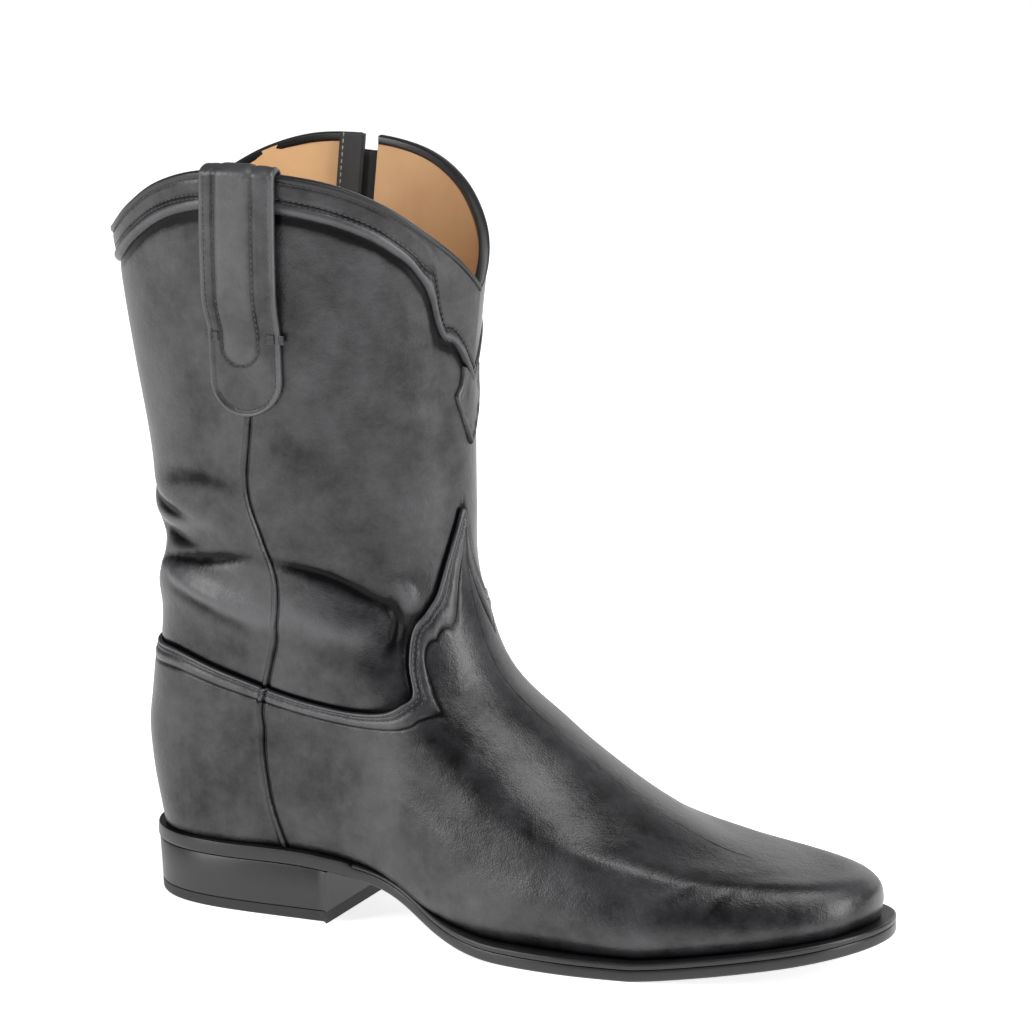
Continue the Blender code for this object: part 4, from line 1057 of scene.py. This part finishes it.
def make_lining():
    share = np.linspace(0, 1, LINING_CUTS)

    def level_rows(angle):
        return np.repeat(share[:, None] * (COLLAR - 0.01), angle.shape[1], axis=1)

    angle, level = panel_grid(level_rows, 9.0)
    base = leather_point(angle, level, LINING_LIFT)
    inward = np.maximum(fold_depth(form_point(angle, level), FINE_FOLDS), 0)
    points = base + form_normal(angle, level) * (leather_wave(base * 1.7) * 2 - inward)[..., None]
    faces = grid_faces(*level.shape, True)[~in_slot(level)][:, ::-1]
    return mesh_piece("lining", points, faces, LINING)


# Zip: tape, teeth and guard

def zip_strip(levels, across, lifts):
    angle = -line_angle(ZIP_LINE, levels)[:, None]
    per_length = angle_per_length(angle[:, 0], levels)[:, None]
    level = np.repeat(levels[:, None], len(across), axis=1)
    return leather_point(angle - across * per_length, level, lifts)


def closed_strip(name, outer, inner, material, wear_and_painted_shade=None):
    """A strip with thickness from its outer and inner points, its ends closed."""
    ring = np.concatenate([outer, inner[:, ::-1]], axis=1)
    rows, columns = ring.shape[:2]
    faces = grid_faces(rows, columns, True).reshape(-1, 4).tolist()
    half = outer.shape[1]
    for row in (0, rows - 1):
        for k in range(half - 1):
            quad = (row * columns + k, row * columns + k + 1,
                    row * columns + columns - 2 - k, row * columns + columns - 1 - k)
            faces.append(quad if row == 0 else quad[::-1])
    flat = ring.reshape(-1, 3)
    mesh = bpy.data.meshes.new(name)
    mesh.from_pydata(flat.tolist(), [], faces)
    # The outer face takes the colour value, with its painted shade, and the inner face gets none.
    layer = mesh.attributes.new("wear_and_painted_shade", "FLOAT", "POINT")
    both = np.zeros(ring.shape[:2]) if wear_and_painted_shade is None else np.concatenate([wear_and_painted_shade, wear_and_painted_shade[:, ::-1] * 0], axis=1)
    layer.data.foreach_set("value", np.ascontiguousarray(both.reshape(-1), np.float32))
    merged(mesh)
    return place(name, mesh, material)


def make_zip():
    top = level_below_collar(ZIP_TOP_GAP, ZIP_LINE)
    levels = np.linspace(ZIP_FOOT - 0.1, top, 170)
    across = np.array([-8.5, -6, -4.4, -3, -1.5, 0, 1.5, 3, 4.4, 6, 8.5]) * MM
    face = -OVERLAY / 2 - 1.0 * MM
    tape = closed_strip("zip_tape_weave", zip_strip(levels, across, face)[:, ::-1],
                        zip_strip(levels, across, face - 0.5 * MM)[:, ::-1], TAPE)
    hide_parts("zip_tape")
    fine = np.linspace(ZIP_FOOT, top, 600)
    lines = []
    outs = []
    for offset, late in ((-0.75, 0), (0.75, 1)):
        line = zip_strip(fine, np.array([offset * MM]), face + 0.45 * MM)[:, 0]
        start = late * 2
        lines.append(line[start:])
        outs.append(form_normal(-line_angle(ZIP_LINE, fine), fine)[start:])
    laid_along("zip_teeth", lines, TOOTH_TREE, CHAIN, (1.5 * MM, 0.8 * MM, 2.9 * MM, 1.0 * MM), outs)
    rows = []
    for side in (-1, 1):
        line = zip_strip(np.linspace(ZIP_FOOT + 0.05, COLLAR - 0.06, 300), np.array([side * 6.0 * MM]),
                         OVERLAY / 2 * np.sign(1) - OVERLAY * 0.5 - 0.45 * MM)[:, 0]
        rows.append(line)
    guard_levels = np.append(np.linspace(ZIP_FOOT + 0.1, COLLAR - 0.02, 150), COLLAR)
    start = CHAIN_HALF * 0.4
    wide = np.linspace(start, start + GUARD_WIDTH, 9)
    sheet_lift = -(WALL + OVERLAY / 2 + GAP)
    outer = zip_strip(guard_levels, wide, sheet_lift)
    inner = zip_strip(guard_levels, wide, sheet_lift - GUARD_THICKNESS)
    angle = across_line(ZIP_LINE, np.full(len(wide), float(COLLAR)), wide, -1)
    tip = np.full(len(wide), GUARD_TIP)
    outer = np.concatenate([outer, above_collar(angle, sheet_lift, tip)[None]])
    inner = np.concatenate([inner, above_collar(angle, sheet_lift - GUARD_THICKNESS, tip)[None]])
    guard = closed_strip("zip_guard_strip", outer[:, ::-1], inner[:, ::-1], GUARD)
    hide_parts("zip_guard")
    line = zip_strip(guard_levels, np.array([start + GUARD_WIDTH - 1.6 * MM]),
                     sheet_lift - GUARD_THICKNESS - 0.05 * MM)[:, 0]
    laid_along("guard_stitches", [line], STITCH_TREE, PALE_THREAD,
               (2.6 * MM, 2.0 * MM, 0.5 * MM, 0.5 * MM))
    for node in ("zip_slider", "zip_pull"):
        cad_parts[node].data.materials.clear()
        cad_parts[node].data.materials.append(NICKEL)


# Pull strap

STRAP_HALF = STRAP_WIDTH / 2
INNER_LEFT = 8.3 * MM
INNER_RIGHT = -6.2 * MM
INNER_END = STRAP_OUTER_LENGTH - 19.7 * MM
SEWN_TOP = STRAP_OUTER_LENGTH - STRAP_SEWN_LENGTH
SEWN_LIFT = -OVERLAY / 2 + 2 * GAP


def level_at_depth(depth):
    levels = np.linspace(THROAT, COLLAR, 121)
    height = form_point(line_angle(SEAM, levels), levels)[:, 2]
    return np.interp(height[-1] - depth, height, levels)


def strap_stand(depth):
    return STRAP_STAND * smooth_step(0, 0.016, SEWN_TOP - depth)


def strap_profile(across, depth):
    """Height of the strap's face over its back, by the place on the strap."""
    past = np.maximum(depth - (STRAP_OUTER_LENGTH - STRAP_HALF), 0)
    inside = STRAP_HALF - np.hypot(across, past)
    thick = STRAP_THICKNESS - 0.9 * MM * np.clip(1 - inside / (0.9 * MM), 0, 1) ** 2
    sewn = smooth_step(SEWN_TOP - 0.004, SEWN_TOP, depth)
    thick = thick + sewn * (0.5 * MM * dent(inside, 0.9 * MM, 0.7 * MM) - 0.6 * MM * dent(inside, 2.4 * MM, 0.6 * MM))
    free = 1 - sewn
    thick = thick - free * 0.3 * MM * (dent(across, -12.1 * MM, 0.5 * MM) + dent(across, 12.6 * MM, 0.5 * MM))
    centre = (INNER_LEFT + INNER_RIGHT) / 2
    radius = (INNER_LEFT - INNER_RIGHT) / 2
    lower = np.maximum(depth - (INNER_END - radius), 0)
    from_inner = radius - np.hypot(across - centre, lower)
    thick = thick - 0.4 * MM * dent(from_inner, 0, 0.6 * MM)
    return thick + 0.35 * MM * smooth_step(0, 2.5 * MM, from_inner), from_inner, inside


def strap_points(across, depth, lift):
    """Points on the strap's outer leg, at distances across it and down from the collar."""
    level = level_at_depth(depth)
    angle = across_line(SEAM, level, across)
    return leather_point(angle, level, SEWN_LIFT + strap_stand(depth) + lift)


def make_strap():
    across = np.concatenate([[-1, -0.985, -0.95], np.linspace(-0.9, 0.9, 33), [0.95, 0.985, 1]])
    turn = np.radians(np.linspace(6, 90, 22))
    end_depth = STRAP_OUTER_LENGTH - STRAP_HALF * (1 - np.cos(turn))
    leg = np.linspace(end_depth[-1], 0, 80)[1:]
    depth = np.concatenate([end_depth, leg])
    width = np.concatenate([STRAP_HALF * np.sin(turn), np.full(len(leg), STRAP_HALF)])
    place_across = width[:, None] * across
    place_depth = np.repeat(depth[:, None], len(across), axis=1)
    thick, from_inner, inside = strap_profile(place_across, place_depth)
    outer = [strap_points(place_across, place_depth, thick)]
    inner = [strap_points(place_across, place_depth, 0.0)]
    # Colour value: paler by the rounded edge, inside the stitched U and over the bend at the collar, painted shade
    # along the inner stitch line.
    wear_and_painted_shade = [0.4 * dent(inside, 0.8 * MM, 0.8 * MM) - 0.4 * dent(from_inner, 0, 0.8 * MM) + 0.2 * (from_inner > 0)]
    inner_lift = -(WALL + OVERLAY / 2 + 2 * GAP)
    base = SEWN_LIFT + STRAP_STAND
    middle = (base + inner_lift) / 2
    reach = (base - inner_lift) / 2
    edge_across = STRAP_HALF * across
    angle = across_line(SEAM, np.full(len(across), float(COLLAR)), edge_across)
    top_thick = strap_profile(edge_across, np.zeros(len(across)))[0]
    for bend in np.radians(np.arange(12, 180, 12)):
        wide = reach + top_thick
        outer.append(above_collar(angle, middle + wide * math.cos(bend), (STRAP_ARCH + top_thick) * math.sin(bend))[None])
        inner.append(above_collar(angle, np.full(len(across), middle + reach * math.cos(bend)),
                                  np.full(len(across), STRAP_ARCH * math.sin(bend)))[None])
        wear_and_painted_shade.append(np.full((1, len(across)), 0.3))
    inside_depth = np.linspace(0, STRAP_INNER_LENGTH, 16)
    level = np.repeat(level_at_depth(inside_depth)[:, None], len(across), axis=1)
    angle = across_line(SEAM, level, np.repeat(edge_across[None], len(inside_depth), axis=0))
    outer.append(leather_point(angle, level, inner_lift - top_thick * 0.9))
    inner.append(leather_point(angle, level, inner_lift))
    wear_and_painted_shade.append(np.zeros(level.shape))
    strap = closed_strip("pull_strap_leather", np.concatenate(outer)[:, ::-1], np.concatenate(inner)[:, ::-1],
                         STRAP_CALF, np.concatenate(wear_and_painted_shade)[:, ::-1])
    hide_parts("pull_strap")
    radius = (INNER_LEFT - INNER_RIGHT) / 2
    centre = (INNER_LEFT + INNER_RIGHT) / 2
    down = np.linspace(0.001, INNER_END - radius, 90)
    bow = np.radians(np.linspace(0, 180, 40))
    path = [np.stack([np.full(90, INNER_LEFT), down], -1),
            np.stack([centre + radius * np.cos(bow), INNER_END - radius + radius * np.sin(bow)], -1),
            np.stack([np.full(90, INNER_RIGHT), down[::-1]], -1)]
    paths = [np.concatenate(path)]
    for side in (-12.1 * MM, 12.6 * MM):
        paths.append(np.stack([np.full(90, side), np.linspace(0.001, SEWN_TOP, 90)], -1))
    bow = np.radians(np.linspace(0, 180, 60))
    small = STRAP_HALF - 2.4 * MM
    paths.append(np.concatenate([
        np.stack([np.full(20, small), np.linspace(SEWN_TOP, STRAP_OUTER_LENGTH - STRAP_HALF, 20)], -1),
        np.stack([small * np.cos(bow), STRAP_OUTER_LENGTH - STRAP_HALF + small * np.sin(bow)], -1),
        np.stack([np.full(20, -small), np.linspace(STRAP_OUTER_LENGTH - STRAP_HALF, SEWN_TOP, 20)], -1)]))
    lines = []
    for path in paths:
        thick = strap_profile(path[:, 0], path[:, 1])[0]
        lines.append(strap_points(path[:, 0], path[:, 1], thick + 0.08 * MM))
    laid_along("strap_stitches", lines, STITCH_TREE, THREAD,
               (2.3 * MM, 1.9 * MM, 0.55 * MM, 0.45 * MM))
    bars = []
    for side in (-1, 1):
        for k in range(7):
            deep = SEWN_TOP + (k - 3) * 0.5 * MM
            reach_across = np.linspace(STRAP_HALF - 3.6 * MM, STRAP_HALF - 0.2 * MM, 6) * side
            bars.append(strap_points(reach_across, np.full(6, deep), strap_profile(reach_across, np.full(6, deep))[0] + 0.15 * MM))
    laid_along("strap_bartacks", bars, STITCH_TREE, THREAD,
               (3.6 * MM, 4.0 * MM, 0.6 * MM, 0.6 * MM))


def make_upper_stitches():
    angle = np.radians(np.linspace(-180, 180, 1400))
    rows = []
    for deep in (1.7 * MM, 3.1 * MM):
        level = vamp_edge(angle) - deep * level_per_length(angle, vamp_edge)
        points, _ = dressed(angle, level, border_lift(np.full(len(angle), deep)) + 0.08 * MM)
        rows += runs(points, clear_of_zip(angle, level))
    for high in (4.7 * MM, 6.1 * MM):
        level = band_edge(angle) + high * level_per_length(angle, band_edge)
        points, _ = dressed(angle, level, band_lift(np.full(len(angle), high)) + 0.08 * MM)
        rows += runs(points, clear_of_zip(angle, level))
    level = COLLAR - 2.2 * MM * level_per_length(angle, lambda a: np.full_like(a, COLLAR - 0.02))
    points, _ = dressed(angle, level, np.full(len(angle), OVERLAY / 2 - 0.25 * MM))
    rows += runs(points, clear_of_zip(angle, level))
    levels = np.linspace(ZIP_FOOT + 0.1, COLLAR - 0.08, 420)
    edge = turn_line(VAMP_EDGE, -line_angle(ZIP_LINE, levels), False)
    base = np.where(levels < edge, OVERLAY / 2, -OVERLAY / 2) - 0.2 * MM
    band = band_edge(line_angle(ZIP_LINE, levels))
    base = np.where(levels > band, band_lift((levels - band) * 0.041) - 0.2 * MM, base)
    for side in (-1, 1):
        spot = across_line(ZIP_LINE, levels, side * 6.0 * MM, -1)
        rows.append(dressed(spot, levels, base)[0])
    laid_along("upper_stitches", rows, STITCH_TREE, THREAD,
               (2.2 * MM, 1.8 * MM, 0.5 * MM, 0.4 * MM))


# Sole, welt, heel and insole

SOLE_COUNT = 420


def sole_angles():
    return np.linspace(0, 2 * math.pi, SOLE_COUNT, endpoint=False)


def feather(inset):
    return inset_plan(form_point(sole_angles(), 0.0)[:, :2], inset)


def raised(plan, height):
    return np.concatenate([plan, height[:, None]], axis=1)


def capped_rings(name, rings, material, low=True, high=True):
    """A closed piece from rings, its first and last rings filled across in strips when asked."""
    points = np.stack(rings)
    rows, columns = points.shape[:2]
    faces = grid_faces(rows, columns, True)[:, :, ::-1].reshape(-1, 4).tolist()
    for row, wanted in ((0, low), (rows - 1, high)):
        if not wanted:
            continue
        for k in range(1, columns // 2):
            a, b = row * columns + k, row * columns + k + 1
            c, d = row * columns + columns - k - 1, row * columns + columns - k
            if k + 1 == columns - k - 1:
                faces.append((a, b, d))
            else:
                faces.append((a, b, c, d))
        faces.append((row * columns, row * columns + 1, row * columns + columns - 1))
    mesh = bpy.data.meshes.new(name)
    mesh.from_pydata(points.reshape(-1, 3).tolist(), [], faces)
    merged(mesh)
    mesh.set_sharp_from_angle(angle=math.radians(45))
    thing = place(name, mesh, material)
    mesh.set_sharp_from_angle(angle=math.radians(45))
    return thing


def welt_depth(x):
    grow = smooth_step(WELT_START, WELT_START + 0.06, x)
    return WELT_END_THICKNESS + (WELT_THICKNESS - WELT_END_THICKNESS) * grow


WELT_START = BACK + HEEL_LENGTH + 0.010


def make_sole():
    angle = sole_angles()
    edge = sole_outline(angle)
    x = edge[:, 0]
    under, top = sole_under(x), sole_top(x)
    forward = smooth_step(WELT_START - 0.002, WELT_START + 0.002, x)
    ledge = top - forward * (welt_depth(x) + GAP)
    rings = []
    for inset, rise in ((1.6, 0.0), (0.9, 0.05), (0.45, 0.25), (0.15, 0.6), (0.0, 1.1)):
        plan = sole_outline(angle, inset * MM)
        rings.append(raised(plan, sole_under(plan[:, 0]) + rise * MM))
    for share, bulge in ((0.35, 0.0), (0.6, 0.02), (0.85, 0.08)):
        plan = sole_outline(angle, bulge * MM)
        rings.append(raised(plan, under + 1.1 * MM + (ledge - under - 1.1 * MM) * share))
    rings.append(raised(sole_outline(angle, 0.25 * MM), ledge))
    plan = sole_outline(angle, 0.9 * MM)
    rings.append(raised(plan, ledge + 0.02 * MM))
    plan = feather(0.5 * MM)
    rings.append(raised(plan, sole_top(plan[:, 0]) - forward * (welt_depth(x) + GAP)))
    outsole = capped_rings("outsole_leather", rings, SOLE_EDGE)
    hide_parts("outsole")
    make_welt_strip(angle)
    sock = []
    for inset, rise in ((WALL / MM + 0.3, 0.4), (WALL / MM + 0.3, INSOLE_THICKNESS / MM - 0.4),
                        (WALL / MM + 0.8, INSOLE_THICKNESS / MM)):
        plan = feather(inset * MM)
        sock.append(raised(plan, sole_top(plan[:, 0]) + rise * MM))
    insole = capped_rings("insole_sock", sock, SOCK)
    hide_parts("insole")


def make_welt_strip(angle):
    edge = sole_outline(angle)
    inner = feather(1.5 * MM)
    keep = [k for k in range(-SOLE_COUNT // 2, SOLE_COUNT // 2) if edge[k][0] > WELT_START]
    columns = []
    for inset, rise in ((0.3, 0.0), (0.05, 0.25), (0.0, 0.7), (0.0, -0.75), (0.12, -0.3), (0.45, -0.05), (1.0, 0.0)):
        plan = sole_outline(angle, inset * MM)
        x = plan[:, 0]
        low = sole_top(x) - welt_depth(x)
        height = low + rise * MM if len(columns) < 3 else sole_top(x) + rise * MM
        middle = (low + sole_top(x)) / 2
        height = np.minimum(height, middle - 0.02 * MM) if len(columns) < 3 else np.maximum(height, middle + 0.02 * MM)
        columns.append(raised(plan, height))
    x = inner[:, 0]
    columns.append(raised(inner, sole_top(x)))
    columns.append(raised(inner, sole_top(x) - welt_depth(x)))
    ring = np.stack(columns, axis=1)[keep]
    rows, count = ring.shape[:2]
    faces = grid_faces(rows, count, True).reshape(-1, 4).tolist()
    faces += [list(range(count)), list(range((rows - 1) * count, rows * count))]
    mesh = bpy.data.meshes.new("welt_strip")
    mesh.from_pydata(ring.reshape(-1, 3).tolist(), [], faces)
    merged(mesh)
    welt = place("welt_strip", mesh, WELT_EDGE)
    mesh.set_sharp_from_angle(angle=math.radians(50))
    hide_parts("welt")


def heel_plan(inset):
    """Plan of the heel, its breast straight across."""
    breast = math.acos(2 * HEEL_LENGTH / SOLE_LENGTH - 1)
    angle = np.linspace(breast, 2 * math.pi - breast, 150)
    edge = sole_outline(angle)
    whole = np.vstack([edge, [(edge[0][0], 0.0)]])
    ring = inset_plan(whole, inset)[:-1]
    ring[0, 0] = edge[0][0]
    ring[-1, 0] = edge[-1][0]
    return ring


def heel_piece(name, steps, material, node):
    """A heel layer from rings of inset and height, its ends filled across."""
    rings = np.stack([raised(heel_plan(inset), height(heel_plan(inset)[:, 0])) for inset, height in steps])
    rows, columns = rings.shape[:2]
    faces = grid_faces(rows, columns, True)[:, :, ::-1].reshape(-1, 4).tolist()
    for row in (0, rows - 1):
        for k in range(columns // 2 - 1):
            faces.append((row * columns + k, row * columns + k + 1,
                          row * columns + columns - 2 - k, row * columns + columns - 1 - k))
    mesh = bpy.data.meshes.new(name)
    mesh.from_pydata(rings.reshape(-1, 3).tolist(), [], faces)
    merged(mesh)
    piece = place(name, mesh, material)
    mesh.set_sharp_from_angle(angle=math.radians(40))
    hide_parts(node)


def make_heel():
    def inset_at(z):
        return HEEL_MARGIN + HEEL_TAPER * (1 - z / HEEL_HEIGHT)

    def level(z):
        return lambda x: np.full_like(x, z)

    cap = CAP_THICKNESS
    heel_piece("heel_top_piece", [
        (inset_at(0) + 1.4 * MM, level(0)), (inset_at(0) + 0.5 * MM, level(0.15 * MM)),
        (inset_at(0) + 0.1 * MM, level(0.6 * MM)), (inset_at(0.001), level(1.1 * MM)),
        (inset_at(cap), level(cap - 0.2 * MM)), (inset_at(cap) + 0.25 * MM, level(cap))],
        HEEL_RUBBER, "heel_cap")
    low = cap + 0.1 * MM
    heel_piece("heel_stack_leather", [
        (inset_at(low) + 0.25 * MM, level(low)), (inset_at(low), level(low + 0.2 * MM)),
        (inset_at(HEEL_HEIGHT * 0.5) + 0.05 * MM, level(HEEL_HEIGHT * 0.5)),
        (inset_at(HEEL_HEIGHT), lambda x: sole_under(x) - 0.5 * MM),
        (inset_at(HEEL_HEIGHT) + 0.2 * MM, lambda x: sole_under(x) - 0.2 * MM)],
        HEEL_EDGE, "heel_block")


# Camera, floor and light

def make_camera():
    data = bpy.data.cameras.new("camera")
    camera = bpy.data.objects.new("camera", data)
    bpy.context.scene.collection.objects.link(camera)
    turn, rise = math.radians(CAMERA_AZIMUTH), math.radians(CAMERA_ELEVATION)
    back = Vector((math.sin(turn) * math.cos(rise), -math.cos(turn) * math.cos(rise), math.sin(rise)))
    camera.location = Vector(CAMERA_TARGET) + back * CAMERA_DISTANCE
    camera.rotation_euler = back.to_track_quat("Z", "Y").to_euler()
    data.sensor_width = 36.0
    data.lens = CAMERA_FOCAL_PX / 1032 * data.sensor_width
    data.clip_start = 0.05
    data.clip_end = 20
    bpy.context.scene.camera = camera


CAMERA_AZIMUTH = 24.24
CAMERA_ELEVATION = 13.19
CAMERA_DISTANCE = 2.07724
CAMERA_TARGET = (0.06735, 0.08831, 0.13648)
CAMERA_FOCAL_PX = 5266.96

# Softboxes: place, point they face, width, height, power in watts
SOFTBOXES = (
    ((-1.15, -1.35, 0.80), (0.00, 0, 0.15), 0.55, 1.3, 22.0),
    ((1.55, -0.35, 0.75), (0.10, 0, 0.12), 0.5, 1.3, 20.0),
    ((0.55, -0.25, 1.50), (0.12, 0, 0.05), 0.9, 0.7, 12.0),
    ((0.35, 1.50, 0.60), (0.08, 0, 0.15), 1.6, 0.9, 6.0),
)


def make_light():
    scene = bpy.context.scene
    world = bpy.data.worlds.new("studio")
    world.use_nodes = True
    shade = world.node_tree.nodes["Background"]
    shade.inputs["Color"].default_value = linear("#f4f4f5")
    shade.inputs["Strength"].default_value = 0.20
    scene.world = world
    for place_at, aim, width, height, power in SOFTBOXES:
        data = bpy.data.lights.new("softbox", "AREA")
        data.shape = "RECTANGLE"
        data.size, data.size_y, data.energy = width, height, power
        lamp = bpy.data.objects.new("softbox", data)
        lamp.location = place_at
        lamp.rotation_euler = (Vector(place_at) - Vector(aim)).to_track_quat("Z", "Y").to_euler()
        scene.collection.objects.link(lamp)
    mesh = bpy.data.meshes.new("floor")
    mesh.from_pydata([(-6, -6, 0), (6, -6, 0), (6, 6, 0), (-6, 6, 0)], [], [(0, 1, 2, 3)])
    floor = bpy.data.objects.new("floor", mesh)
    material, tree, shader, where = new_finish("seamless_paper", "#f2f2f2", 0.55, Emission_Strength=0.80)
    shader.inputs["Emission Color"].default_value = linear("#ffffff")
    mesh.materials.append(material)
    scene.collection.objects.link(floor)
    scene.view_settings.view_transform = "Standard"


make_camera()
make_light()
make_sole()
make_heel()
make_foot()
make_shaft()
make_band()
make_drop()
make_binding()
make_lining()
make_zip()
make_strap()
make_upper_stitches()
